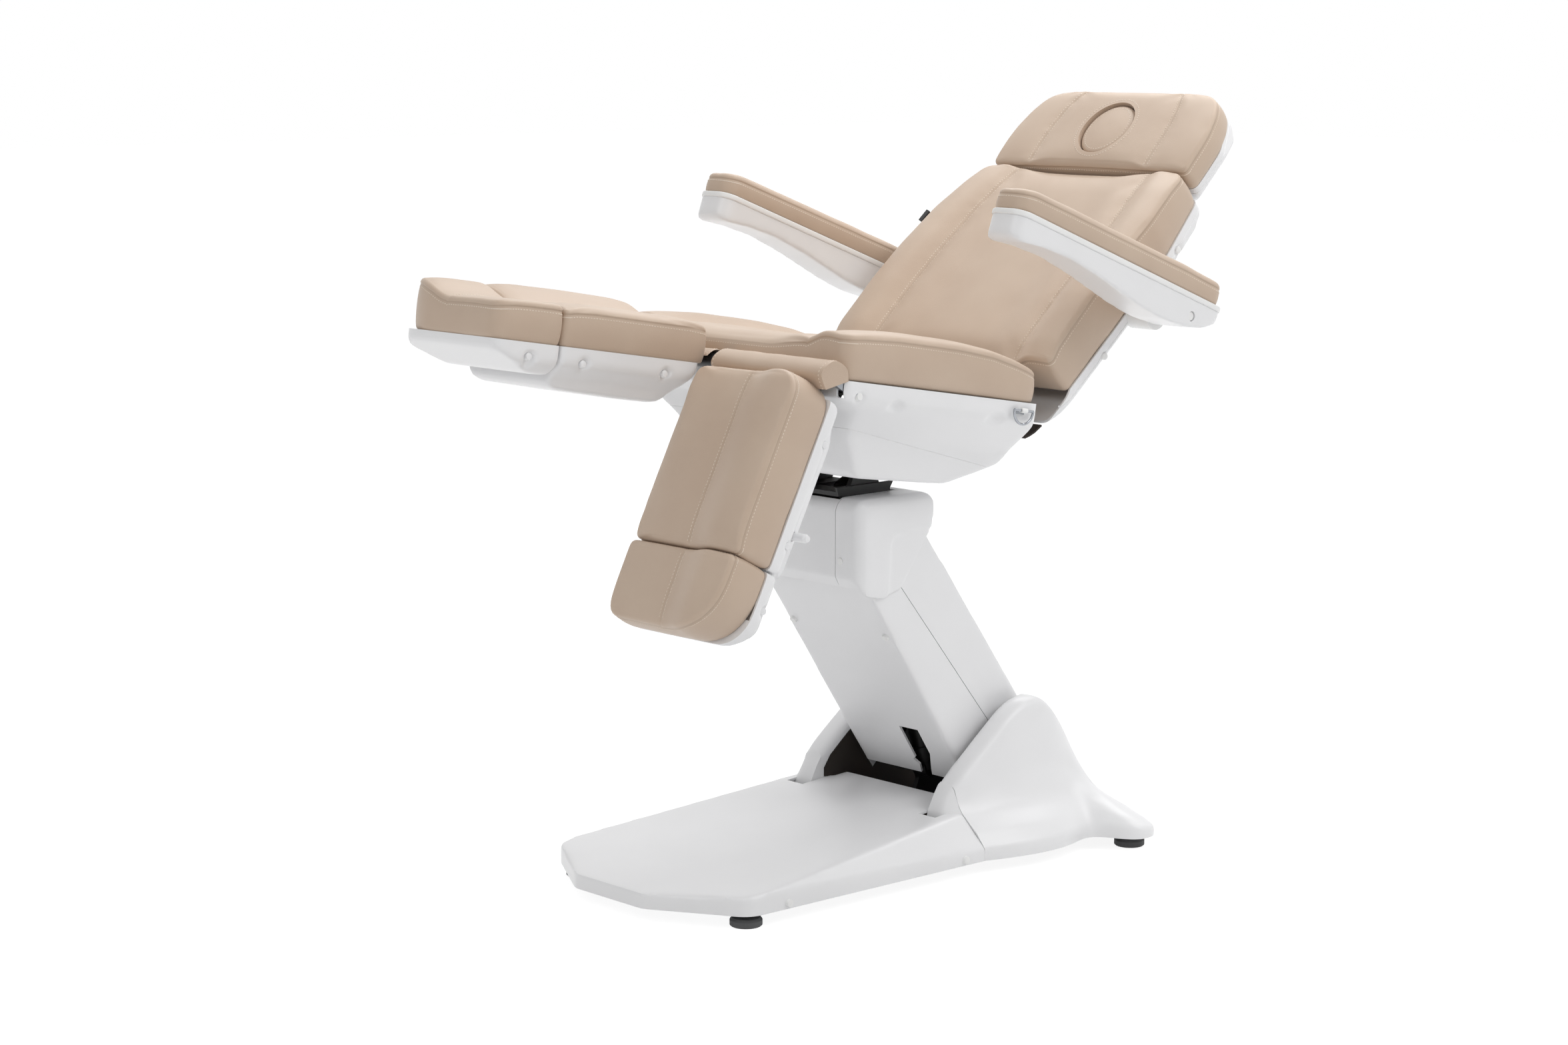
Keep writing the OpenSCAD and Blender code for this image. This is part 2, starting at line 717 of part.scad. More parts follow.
// Screw actuators, drawn from the motor pivot towards the rod end along +X
tube_r = 20;
rod_r = 9;
eye_half = 13;
module actuator_body(len, pin_r, r) {
  difference() {
    union() {
      bar_y(r * 0.95, -eye_half, eye_half);
      bar_x(r, 0, len);
      bar_x(r * 1.2, r, r * 2.4);
      bar_x(r * 1.15, len - r * 0.5, len);
    }
    bar_y(pin_r + run_gap, -r * 2, r * 2);
    bar_x(rod_r + run_gap, r * 1.6, len + overrun);
  }
}
module actuator_rod(start, len, pin_r, slack) {
  difference() {
    union() {
      bar_x(rod_r, start, len - pin_r - slack);
      bar_y(pin_r + slack + wall * 1.5, -eye_half, eye_half, [len, 0]);
    }
    bar_y(pin_r + slack, -eye_half - overrun, eye_half + overrun, [len, 0]);
  }
}
lift_slack = 3.3;
lift_a = [lift_x + motor_dx, lift_z + motor_dz];
lift_e = [lift_x - lift_end_x * cos(column_angle), lift_z + lift_end_x * sin(column_angle)];
lift_span = norm(lift_e - lift_a);
lift_dir = atan2(lift_e.y - lift_a.y, lift_e.x - lift_a.x);
module lift_motor() {
  color(black)
    translate([lift_a.x, 0, lift_a.y])
      rotate([0, -lift_dir, 0])
        actuator_body(lift_span * 0.66, motor_pin_r, tube_r);
}
module lift_rod() {
  color(chrome)
    translate([lift_a.x, 0, lift_a.y])
      rotate([0, -lift_dir, 0])
        actuator_rod(lift_span * 0.44, lift_span, motor_pin_r, lift_slack);
}

// Head of the column: cheeks, pivots, the black yoke and the housing covers
yoke_front = 68;
yoke_rear = 58;
housing_top = 73;
housing_wall = 5;
tilt_a_drop = 60;
tilt_pin_r = 7;
cheek_shares = [[-0.45, 0.62], [-0.28, 0], [0, -0.27], [0.3, -0.05], [0.52, 0.2], [0.45, 0.62]];
module head_block() {
  color(black) {
    sides() {
      side_slab(rounded(spots(cheek_shares, [tilt_rise, tilt_rise], [top_x, top_z]),
        [0, 30, 30, 20, 10, 0]), cheek_in, cheek_out);
      side_slab([[top_x - tilt_rise * 0.34, top_z + housing_top + wall],
        [top_x + tilt_rise * 0.34, top_z + housing_top + wall],
        [top_x + shaft_r, tilt_z + shaft_r], [top_x - shaft_r, tilt_z + shaft_r]],
        cheek_in, cheek_out);
      bar_y(shaft_r * 1.6, cheek_in, cheek_out, [top_x, tilt_z]);
    }
    difference() {
      union() {
        block([top_x - yoke_front, top_x + yoke_rear], [-cheek_out - wall, cheek_out + wall],
          [top_z + housing_top + seat_gap, top_z + housing_top + wall * 2]);
        sides()
          side_slab([[top_x - yoke_front, top_z + housing_top + wall],
            [top_x + yoke_rear, top_z + housing_top + wall],
            [top_x + yoke_rear + wall * 2, top_z + housing_top + wall * 4],
            [top_x - yoke_front - wall, top_z + housing_top + wall * 4]],
            cheek_out, cheek_out + wall);
      }
      block([top_x - tube_r * 1.3, top_x + yoke_rear + overrun], [-tube_r * 1.3, tube_r * 1.3],
        [top_z, tilt_z]);
    }
    sides()
      block([top_x - 84 + wall + seat_gap, top_x - yoke_front / 2 - wall],
        [cheek_in, housing_half_w - housing_corner - wall * 2], [top_z + wall * 2, top_z + housing_top / 2]);
  }
  color(chrome) {
    bar_y(shaft_r, -arm_out - wall, arm_out + wall, [top_x, top_z]);
    bar_y(link_r, -cheek_in - wall, cheek_in + wall, [top_x + link_dx, top_z + link_dz]);
    bar_y(shaft_r - 2, -104, 104, [top_x, tilt_z]);
    bar_y(tilt_pin_r, -cheek_in - wall, cheek_in + wall, [top_x, tilt_z - tilt_a_drop]);
  }
}

// Side outline of the housing from the upper column pivot
housing_side = rounded([
  [top_x - 84, top_z + housing_top], [top_x - 85, top_z - 62], [top_x - 66, top_z - 95],
  [top_x - 20, top_z - 104], [top_x + 27, top_z - 92], [top_x + 95, top_z],
  [top_x + 104, top_z + 42], [top_x + 98, top_z + housing_top]],
  [26, 14, 22, 14, 16, 12, 16, 20]);
housing_reach = 150;
housing_inner = rounded([
  [top_x - 84 + wall, top_z + housing_top - housing_wall], [top_x - 85 + wall, top_z - 62],
  [top_x - 66 + wall, top_z - 104 - overrun],
  [top_x + housing_reach, top_z - 104 - overrun],
  [top_x + housing_reach, top_z + housing_top - housing_wall]], [22, 12, 0, 0, 0]);
housing_corner = 26;
panel_y = 85;
module housing_shell() {
  difference() {
    intersection() {
      side_slab(housing_side, -housing_half_w, housing_half_w);
      plan_slab(rounded([[top_x - 84, -housing_half_w], [top_x + 104, -housing_half_w],
        [top_x + 104, housing_half_w], [top_x - 84, housing_half_w]],
        [housing_corner, wall, wall, housing_corner]), 0, tilt_z);
      front_slab(rounded([[-housing_half_w, 0], [housing_half_w, 0],
        [housing_half_w, top_z + housing_top], [-housing_half_w, top_z + housing_top]],
        [0, 0, 18, 18]), top_x - ear_z, top_x + ear_z);
    }
    intersection() {
      side_slab(housing_inner, -housing_half_w + wall * 1.5, housing_half_w - wall * 1.5);
      plan_slab(rounded([[top_x - 84 + wall, wall * 1.5 - housing_half_w], [top_x + 150, wall * 1.5 - housing_half_w],
        [top_x + 150, housing_half_w - wall * 1.5], [top_x - 84 + wall, housing_half_w - wall * 1.5]],
        [housing_corner - wall, 0, 0, housing_corner - wall]), 0, tilt_z);
      front_slab(rounded([[wall * 1.5 - housing_half_w, 0], [housing_half_w - wall * 1.5, 0],
        [housing_half_w - wall * 1.5, top_z + housing_top - housing_wall],
        [wall * 1.5 - housing_half_w, top_z + housing_top - housing_wall]],
        [0, 0, 14, 14]), top_x - ear_z, top_x + ear_z);
    }
    block([top_x - yoke_front + wall, top_x + yoke_rear],
      [-cheek_out - seat_gap, cheek_out + seat_gap], [top_z, tilt_z]);
    block([top_x, top_x + 90], [-tube_r * 1.3, tube_r * 1.3], [top_z + 62, tilt_z]);
  }
}
module housing_side_cover() {
  color(white) {
    difference() {
      intersection() {
        housing_shell();
        block([top_x - ear_z, top_x + ear_z], [panel_y + part_gap, housing_half_w],
          [0, tilt_z]);
      }
      side_slab([[top_x - 8, top_z - 104], [top_x - 8, top_z], [top_x + 4, top_z + 6],
        [top_x + 110, top_z + 6], [top_x + 110, top_z - 104]],
        housing_half_w - wall * 0.75, housing_half_w + overrun);
    }
    translate([top_x - 84 + wall / 2, panel_y + 12, top_z - 35])
      rotate([0, -90, 0])
        cylinder(r = cap_r, h = cap_h + wall / 2, $fn = 20);
  }
}
module knuckle_right_cover() { housing_side_cover(); }
module knuckle_left_cover() { mirror([0, 1, 0]) housing_side_cover(); }
module knuckle_front_cover() {
  color(white)
    intersection() {
      housing_shell();
      block([top_x - ear_z, top_x + ear_z], [-panel_y, panel_y], [0, tilt_z]);
    }
}

// Seat group
rail_low = 25;
rail_y0 = 76;
rail_y1 = 92;
hinge_r = 10;
eye_r = 18;
leg_pin_r = 8;
cross_u = [-262, -240];
tilt_end = [150, 40];
seat_lug_r = 13;
module seat_frame() {
  color(steel)
    at_seat() {
      difference() {
        union() {
          sides() {
            block([cross_u[0], seat_rear + wall * 3], [rail_y0, rail_y1],
              [board_w - rail_low, board_w]);
            side_slab(rounded([[seat_rear - wall * 5, board_w - rail_low],
              [back_hinge_u, board_w - eye_r * 1.1], [back_hinge_u + eye_r * 0.8, board_w],
              [seat_rear, board_w]], 0), rail_y0, rail_y1);
            bar_y(eye_r, rail_y0, rail_y1, [back_hinge_u, board_w]);
            side_slab([[-70, board_w - rail_low + eps], [-shaft_r * 1.2, 0],
              [shaft_r * 1.2, 0], [70, board_w - rail_low + eps]], rail_y0, rail_y1);
            bar_y(shaft_r * 1.25, rail_y0, rail_y1);
          }
          for (u = [cross_u, [tilt_end.x - 10, tilt_end.x + 12]])
            block(u, [-seat_half_w + wall + seat_gap, seat_half_w - wall - seat_gap],
              [board_w - rail_low + wall, board_w - wall]);
        }
        bar_y(shaft_r - 2 + run_gap, -ear_z, ear_z);
      }
      sides()
        block([tilt_end.x - 12, tilt_end.x + 12], [tube_r - 1, tube_r + wall],
          [tilt_end.y - 12, board_w - rail_low + wall]);
      for (y = [[-6, 6], [seat_half_w - 17, seat_half_w - 9], [9 - seat_half_w, 17 - seat_half_w]])
        side_slab([[-leg_hinge_u - 6, leg_hinge_w - seat_lug_r + 1],
          [cross_u[0] + 2, board_w - rail_low], [cross_u[0] + 2, board_w - wall],
          [-leg_hinge_u + 13, board_w - wall + 1], [-leg_hinge_u + 10, leg_hinge_w + 8],
          [-leg_hinge_u, leg_hinge_w + seat_lug_r - 1],
          [-leg_hinge_u - 9, leg_hinge_w + 9], [-leg_hinge_u - seat_lug_r, leg_hinge_w]],
          y[0], y[1]);
      block([tilt_end.x - 12, tilt_end.x + 12], [-10, 10], [board_w - rail_low - 6, board_w - rail_low + wall]);
    }
  color(chrome)
    at_seat() {
      bar_y(hinge_r, -rail_y1 - wall, rail_y1 + wall, [back_hinge_u, board_w]);
      bar_y(leg_pin_r, 6 - seat_half_w, seat_half_w - 6, [-leg_hinge_u, leg_hinge_w]);
      bar_y(tilt_pin_r, -tube_r - wall, tube_r + wall, tilt_end);
    }
}

// Shell outlines as shares of the shell's length and depth, from the tilt pivot
shell_depth = 162;
function seat_side(t) = rounded([
  [-seat_front + t, board_w + (t > 0 ? overrun : 0)], [-seat_front + t, board_w - 30 + t / 2],
  [-seat_front + 51 + t, board_w - 44 + t], [-seat_front + 55 + t, board_w - 140 + t],
  [-seat_front + 78, board_w - shell_depth + t], [76, board_w - shell_depth + 5 + t],
  [148, board_w - 131 + t], [seat_rear - t, board_w - 108 + t],
  [seat_rear - t, board_w + (t > 0 ? overrun : 0)]],
  [0, 8, 10, 16, 30, 60, 60, 30, 0]);
function seat_section(t) =
  let(h = seat_half_w - t, b = board_w - shell_depth - overrun * (t > 0 ? 1 : 0))
  rounded(both_sides([[h, board_w + overrun], [h, board_w - 27], [h * 0.955, board_w - 46],
    [h * 0.84, board_w - 82], [h * 0.71, board_w - 122], [h * 0.62, b]]),
    [0, 10, 30, 60, 40, 0, 0, 40, 60, 30, 10, 0], 4);

ring_u = 148;
ring_w = 128;
ring_half = 24;
ring_wire = 2.4;
ring_out = 7;
module seat_shell() {
  color(white)
    at_seat() {
      difference() {
        intersection() {
          side_slab(seat_side(0), -seat_half_w, seat_half_w);
          front_slab(seat_section(0), -seat_front - overrun, seat_rear + overrun);
        }
        intersection() {
          side_slab(seat_side(wall), -seat_half_w, seat_half_w);
          front_slab(seat_section(wall), -seat_front - overrun, seat_rear + overrun);
        }
        block([-92, 98], [-cheek_out - wall * 1.5, cheek_out + wall * 1.5], [-ear_z / 4, board_w / 2]);
        block([90, 136], [-tube_r - wall, tube_r + wall], [-ear_z / 4, tilt_end.y - 14]);
        block([-tube_r, tube_r], [-rail_y1 - wall / 2, rail_y1 + wall / 2], [-ear_z / 4, shaft_r]);
        block([seat_rear - wall * 4, seat_rear + overrun], [-rail_y1 - part_gap, rail_y1 + part_gap],
          [tilt_end.y + wall * 2, board_w + overrun]);
        for (y = [[-7, 7], [seat_half_w - 18, seat_half_w - 8], [8 - seat_half_w, 18 - seat_half_w]])
          block([-seat_front - overrun, -seat_front + wall * 4], y, [board_w - rail_low - wall,
            board_w + overrun]);
        sides()
          for (u = [-240, -140])
            translate([u, seat_half_w + 6, board_w - 30])
              scale([1.3, 0.75, 1])
                sphere(r = 16, $fn = 24);
      }
      sides() {
        difference() {
          union() {
            bar_x(ring_wire + 2, ring_u - 7, ring_u + 7, [seat_half_w + ring_out, ring_w]);
            block([ring_u - 7, ring_u + 7], [seat_half_w - wall, seat_half_w + ring_out],
              [ring_w - 2, ring_w + 2]);
          }
          bar_x(ring_wire + run_gap * 2, ring_u - 8, ring_u + 8, [seat_half_w + ring_out, ring_w]);
        }
        for (u = [-240, -140])
          translate([u, seat_half_w - 7, board_w - 30])
            rotate([-90, 0, 0])
              cylinder(r = cap_r, h = wall, $fn = 20);
      }
    }
}

seat_pad_shares = [[0, 0.5, 0.5, 0.975], [0.02, 0.78, 0.9, 0.99], [0.07, 0.92, 1, 1], [0.25, 1, 1, 1],
  [0.5, 1, 1, 1], [0.7, 0.96, 1, 1], [0.86, 0.8, 0.97, 1], [0.95, 0.64, 0.86, 0.995],
  [1, 0.42, 0.5, 0.98]];
seat_seam_share = 0.17;
module seat_cushion() {
  pad_front = seat_front - 3;
  color(leather)
    at_seat()
      loft([for (s = seat_pad_shares)
        let(w = (seat_half_w - wall) * s[3])
        pad_ring(-pad_front + (pad_front + seat_rear) * s[0], -w, w, seat_bolster * s[1],
          seat_middle * s[2], seat_bolster * s[1], seat_seam_share, seat_seam_share, board_w)]);
}

// Leather flaps over the leg hinges, followed in the seat's side plane
flap_t = 3;
folded_flap = [[-280, 143], [-283, 158], [-294, 170], [-310, 170], [-326, 160], [-333, 148],
  [-329, 137], [-319, 123]];
level_flap = [[-280, 143], [-282, 157], [-290, 167], [-303, 168], [-313, 163], [-321, 156]];
module flap(path, y0, y1) {
  color(leather)
    at_seat()
      side_slab(concat(path, [for (i = [len(path) - 1:-1:0]) beside(path, flap_t)[i]]), y0, y1);
}
module left_flap() { flap(folded_flap, 22 - seat_half_w, -leg_split - 6); }
module right_flap() { flap(level_flap, leg_split + 6, seat_half_w - 22); }

tilt_ax = top_x;
tilt_az = tilt_z - tilt_a_drop;
tilt_e = [top_x + tilt_end.x * cos(seat_tilt) + tilt_end.y * sin(seat_tilt),
  tilt_z - tilt_end.x * sin(seat_tilt) + tilt_end.y * cos(seat_tilt)];
tilt_span = norm(tilt_e - [tilt_ax, tilt_az]);
tilt_dir = atan2(tilt_e.y - tilt_az, tilt_e.x - tilt_ax);
tilt_slack = 0.6;
tilt_tube_r = 16;
module tilt_motor() {
  color(black)
    translate([tilt_ax, 0, tilt_az])
      rotate([0, -tilt_dir, 0])
        actuator_body(tilt_span * 0.64, tilt_pin_r, tilt_tube_r);
}
module tilt_rod() {
  color(chrome)
    translate([tilt_ax, 0, tilt_az])
      rotate([0, -tilt_dir, 0])
        actuator_rod(tilt_span * 0.36, tilt_span, tilt_pin_r, tilt_slack);
}

// Back drive: a sliding crosshead with an upright slot turns the back's crank
crank_r = 60;
crank_lead = 12.25;
crank_pin_r = 6;
crank_slack = 1.6;
drive_w = board_w - 54;
head_t = 5;
motor_u = [20, 185];
rod_pin_u = back_hinge_u + crank_r * sin(crank_lead);
module back_motor() {
  color(black)
    at_seat()
      difference() {
        union() {
          bar_x(tube_r - 2, motor_u[0], motor_u[1], [0, drive_w]);
          bar_x(tube_r, motor_u[0], motor_u[0] + 50, [0, drive_w]);
          block([motor_u[0] + 8, motor_u[0] + 42], [-rail_y0, rail_y0],
            [drive_w - 8, drive_w + 8]);
          sides()
            block([motor_u[0] + 8, motor_u[0] + 42], [rail_y0 - wall, rail_y0],
              [drive_w, board_w - wall]);
        }
        bar_x(rod_r + run_gap, motor_u[0] + 40, motor_u[1] + overrun, [0, drive_w]);
      }
}
module back_rod() {
  color(chrome)
    at_seat()
      difference() {
        union() {
          bar_x(rod_r, motor_u[1] - 60, rod_pin_u - 14, [0, drive_w]);
          block([rod_pin_u - 17, rod_pin_u + 17], [-head_t, head_t], [drive_w - 24, drive_w + 24]);
        }
        for (w = [drive_w - 8, drive_w + 8])
          bar_y(crank_pin_r + crank_slack, -tube_r, tube_r, [rod_pin_u, w]);
        block([rod_pin_u - crank_pin_r - crank_slack, rod_pin_u + crank_pin_r + crank_slack],
          [-tube_r, tube_r], [drive_w - 8, drive_w + 8]);
      }
}

module hanging_ring(side) {
  color(chrome)
    at_seat()
      translate([ring_u, side * (seat_half_w + ring_out), ring_w]) {
        rotate([0, 90, 0])
          cylinder(r = ring_wire, h = ring_half * 2, center = true, $fn = 20);
        rotate([90, 180, 0])
          rotate_extrude(angle = full_turn / 2, $fn = 40)
            translate([ring_half, 0])
              circle(r = ring_wire, $fn = 12);
      }
}
module left_ring() { hanging_ring(-1); }
module right_ring() { hanging_ring(1); }

// Back group
rim_n = 4;
frame_top = 14;
frame_bottom = 34;
back_rail_in = 54;
back_rail_out = 66;
// How far below the back's top end the rods, sleeves and upper cross bar lie
rod_inset = 120;
sleeve_inset = 140;
sleeve_mouth = 62;
bore_lead = 2;
bore_mouth = 20;
bar_inset = [110, 90];
cross_p = [[96, 118], [back_len - bar_inset[0], back_len - bar_inset[1]]];
sleeve_y = 80;
head_rod_r = 8;
arm_rod_r = 9;
module back_frame() {
  color(black)
    at_back()
      difference() {
        union() {
          sides() {
          side_slab([[-12, -12], [24, -28], [60, -frame_bottom], [back_len - 60, -frame_bottom],
            [back_len - 60, -frame_top], [44, -frame_top], [12, 6]], back_rail_in, back_rail_out);
            bar_y(eye_r, back_rail_in, back_rail_out);
            bar_x(head_rod_r + 3.5, back_len - sleeve_inset, back_len - sleeve_mouth,
              [sleeve_y, -(frame_top + frame_bottom) / 2]);
            block([arm_pivot_p - 16, arm_pivot_p + 16], [back_rail_out, back_half_w * 0.85],
            [-frame_bottom, -frame_top]);
            bar_y(arm_rod_r, back_rail_out, arm_y - arm_w / 2 + 32, [arm_pivot_p, -arm_n]);
          }
          for (p = cross_p)
          for (q = [[back_half_w * 0.85, frame_bottom],
            [back_edge(p[1]) - wall - seat_gap - (p[1] > arm_pivot_p ? 2 : 0), frame_top + wall]])
            block(p, [-q[0], q[0]], [-q[1], -frame_top]);
          bar_y(eye_r * 0.9, -back_rail_in, back_rail_in);
          sides()
            rotate([0, back_angle, 0])
              rotate([0, full_turn / 2 - crank_lead, 0])
                side_slab([[-9, 0], [9, 0], [9, crank_r], [-9, crank_r]], head_t + 3, head_t + 11);
          rotate([0, back_angle, 0])
            rotate([0, full_turn / 2 - crank_lead, 0]) {
              sides()
                bar_y(11, head_t + 3, head_t + 11, [0, crank_r]);
              bar_y(crank_pin_r, -head_t - 11, head_t + 11, [0, crank_r]);
            }
        }
        bar_y(hinge_r + run_gap, -ear_z, ear_z);
        sides()
          bar_x(head_rod_r + run_gap, back_len - sleeve_inset - bore_lead, back_len - bore_mouth,
            [sleeve_y, -(frame_top + frame_bottom) / 2]);
      }
}

back_depth = 41;
waist_p = 218;
waist_in = 6;
bend_inset = 146;
bend_p = back_len - bend_inset;
function back_plan(t) = rounded([
  [-22, -back_half_w * 0.9 + t], [34, -back_half_w + t], [waist_p, -back_half_w + t],
  [bend_p, -back_half_w + waist_in + t], [back_len - t, -back_top_half_w + t],
  [back_len - t, back_top_half_w - t], [bend_p, back_half_w - waist_in - t],
  [waist_p, back_half_w - t],
  [34, back_half_w - t], [-22, back_half_w * 0.9 - t]],
  [20, 30, 0, 300, 26, 26, 300, 0, 30, 20], 6);
function back_side(t) = rounded([
  [-22 - overrun * (t > 0 ? 1 : 0), -30 + t], [10, -34 + t], [70, -back_depth + t],
  [back_len - 60, -back_depth + t], [back_len + overrun, -back_depth + 14 + t],
  [back_len + overrun, -rim_n + (t > 0 ? overrun : 0)], [48, -rim_n + (t > 0 ? overrun : 0)],
  [20, -16 + (t > 0 ? overrun * 2 : 0)], [-22 - overrun * (t > 0 ? 1 : 0), -24 + (t > 0 ? overrun * 2 : 0)]],
  [0, 40, 40, 60, 0, 0, 14, 14, 0]);
function back_section(t) =
  let(h = back_half_w + (t > 0 ? -t : 2))
  rounded(both_sides([[h, overrun], [h, -24 + t], [h * 0.93, -36 + t], [h * 0.8, -back_depth - 1 + t]]),
    [0, 8, 20, 0, 0, 20, 8, 0], 4);
back_caps = [[150, 11], [back_len - 210, 11], [back_len - rod_inset, 22]];
module back_shell() {
  color(white)
    at_back() {
      difference() {
                intersection() {
          side_slab(back_side(0), -back_half_w, back_half_w);
          plan_slab(back_plan(0), -back_depth * 2, overrun);
          front_slab(back_section(0), -ear_z, back_len + overrun);
        }
        intersection() {
          side_slab(back_side(wall), -back_half_w, back_half_w);
          plan_slab(back_plan(wall), -back_depth * 2, overrun);
          front_slab(back_section(wall), -ear_z, back_len + overrun);
        }
        block([-ear_z, 8], [-34, 34], [-back_depth * 2, overrun]);
        sides() {
          bar_y(arm_rod_r + part_gap, back_half_w / 2, arm_y, [arm_pivot_p, -arm_n]);
          block([back_len - 40, back_len + overrun], [sleeve_y - 20, sleeve_y + 20],
            [-frame_bottom - 3, -rim_n + overrun]);
          block([-40, 40], [back_rail_in - 6, rail_y1 + 8], [-30, overrun]);
        }
      }
      sides()
        for (q = back_caps)
          translate([q[0], back_half_w - q[1], -back_depth + 16])
            rotate([-90, 0, 0])
              cylinder(r = cap_r, h = wall * 2, $fn = 20);
    }
}
back_pad_shares = [[0, 0.5, 0.5, 0.95], [0.02, 0.78, 0.85, 0.975], [0.07, 0.92, 1, 0.99],
  [0.3, 1.02, 1.02, 0.995], [0.5, 1, 1, 1], [0.7, 0.93, 1, 1], [0.88, 0.84, 1, 1],
  [0.97, 0.74, 0.92, 0.985], [1, 0.5, 0.5, 0.96]];
function back_edge(p) =
  p < waist_p ? back_half_w
  : p < bend_p ? back_half_w - waist_in * (p - waist_p) / (bend_p - waist_p)
  : back_half_w - waist_in
    - (back_half_w - waist_in - back_top_half_w) * (p - bend_p) / bend_inset;
back_pad_from = 32;
module back_cushion() {
  color(leather)
    at_back()
      loft([for (s = back_pad_shares)
        let(p = back_pad_from + (back_len - back_pad_from) * s[0], w = back_edge(p) * s[3] - 2)
        pad_ring(p, -w, w, back_bolster * s[1], back_middle * s[2], back_bolster * s[1],
          0.165, 0.165, -rim_n)]);
}
apron_path = [[-22, -28], [-42, -24.5], [-56, -19.5], [-66, -14.5]];
module rear_apron() {
  path = apron_path;
  color(white)
    at_back()
      sides()
        side_slab(concat(path, [for (i = [len(path) - 1:-1:0]) beside(path, flap_t)[i]]),
          rail_y1 + 20, back_half_w * 0.88);
}
hook_p = back_len - 180;
module handset_hook() {
  color(black)
    at_back()
      translate([hook_p, back_edge(hook_p), 0]) {
        block([0, 34], [seat_gap, wall * 2.5], [-30, -12]);
        block([0, 34], [wall * 1.75, wall * 2.5], [-30, 104]);
      }
}

// Headrest group
head_hinge = [24, 0];
head_rim = 24;
head_shell_n = -20;
module head_slide() {
  color(chrome)
    at_back()
      sides()
        bar_x(head_rod_r, back_len - rod_inset, head_start + head_hinge.x,
          [sleeve_y, -(frame_top + frame_bottom) / 2]);
  color(black)
    at_head() {
      bar_y(head_rod_r, -sleeve_y - 16, sleeve_y + 16, head_hinge);
      sides()
        block([head_hinge.x - 9, head_hinge.x + 9], [sleeve_y - 12, sleeve_y + 12], [-17, 9]);
    }
}
function head_plan(t) = rounded([[6 + t, -head_half_w + t + 3], [head_len * 0.45, -head_half_w + t],
  [head_len - t, -head_half_w * 0.74 + t], [head_len - t, head_half_w * 0.74 - t],
  [head_len * 0.45, head_half_w - t], [6 + t, head_half_w - t - 3]],
  [18, 60, 50, 50, 60, 18], 7);
module plug_shape(extra, z0, z1) {
  translate([plug_q, 0, z0])
    scale([plug_len / 2 + extra, plug_w / 2 + extra, z1 - z0])
      cylinder(r = 1, h = 1, $fn = 48);
}
plug_q = 98;
module head_shell() {
  color(white)
    at_head()
      difference() {
        union() {
          difference() {
            intersection() {
              plan_slab(head_plan(0), head_shell_n, head_rim);
              side_slab(rounded([[0, head_rim], [4, head_shell_n + 12], [20, head_shell_n],
                [head_len - 34, head_shell_n], [head_len, head_rim - 16],
                [head_len, head_rim]], [0, 10, 14, 30, 8, 0]), -ear_z, ear_z);
              front_slab(rounded(both_sides([[head_half_w, head_rim + 1], [head_half_w, head_rim - 20],
                [head_half_w * 0.86, head_shell_n]]), [0, 10, 26, 26, 10, 0]), -1, ear_z);
            }
            intersection() {
              plan_slab(head_plan(wall), head_shell_n + wall, head_rim + overrun);
              side_slab(rounded([[0, head_rim + overrun], [8, head_shell_n + 14],
                [24, head_shell_n + wall], [head_len - 38, head_shell_n + wall],
                [head_len - wall, head_rim - 14], [head_len - wall, head_rim + overrun]],
                [0, 8, 12, 26, 6, 0]), -ear_z, ear_z);
              front_slab(rounded(both_sides([[head_half_w - wall, head_rim + overrun],
                [head_half_w - wall, head_rim - 18],
                [head_half_w * 0.86 - wall / 2, head_shell_n + wall]]),
                [0, 8, 22, 22, 8, 0]), -1, ear_z);
            }
          }
          sides()
            for (y = [20, sleeve_y - 40])
              block([head_hinge.x - 14, head_hinge.x + 14], [y, y + 12],
                [head_shell_n + wall / 2, head_hinge.y + 14]);
          plug_shape(wall, head_shell_n + wall / 2, head_rim);
        }
        plug_shape(part_gap, head_shell_n - overrun, head_rim + overrun);
        bar_y(head_rod_r + run_gap, -sleeve_y + 10, sleeve_y - 10, head_hinge);
        sides()
          block([-overrun, head_hinge.x - 8], [sleeve_y - 18, sleeve_y + 18],
            [head_shell_n - overrun, head_rim - 4]);
        sides()
          block([head_hinge.x - 30, head_hinge.x + 16], [sleeve_y - 14, sleeve_y + 20],
            [head_shell_n - overrun, head_rim - 6]);
      }
}
head_pad_shares = [[0, 0.6, 0.6, 0.965], [0.03, 0.86, 0.88, 0.99], [0.1, 0.92, 1, 0.995], [0.3, 0.92, 1.02, 1],
  [0.5, 0.9, 1.03, 0.985], [0.72, 0.88, 1.02, 0.92], [0.88, 0.84, 0.98, 0.83], [0.97, 0.74, 0.85, 0.75],
  [1, 0.5, 0.5, 0.70]];
module head_cushion() {
  color(leather)
    at_head()
      difference() {
        loft([for (s = head_pad_shares)
          let(w = head_half_w * s[3] - 1)
          pad_ring(6 + (head_len - 4) * s[0], -w, w, head_pad * s[1], head_pad * s[2],
            head_pad * s[1], 0.2, 0.2, head_rim)]);
        plug_shape(part_gap, head_rim - overrun, head_rim + head_pad * 2);
      }
}
module face_plug() {
  color(leather)
    at_head() {
      plug_shape(-part_gap, head_rim - 34, head_rim + head_pad * 0.98);
      translate([plug_q, 0, head_rim + head_pad * 0.98])
        scale([plug_len / 2 - wall, plug_w / 2 - wall, wall])
          cylinder(r1 = 1, r2 = 0.92, h = 1, $fn = 48);
    }
}

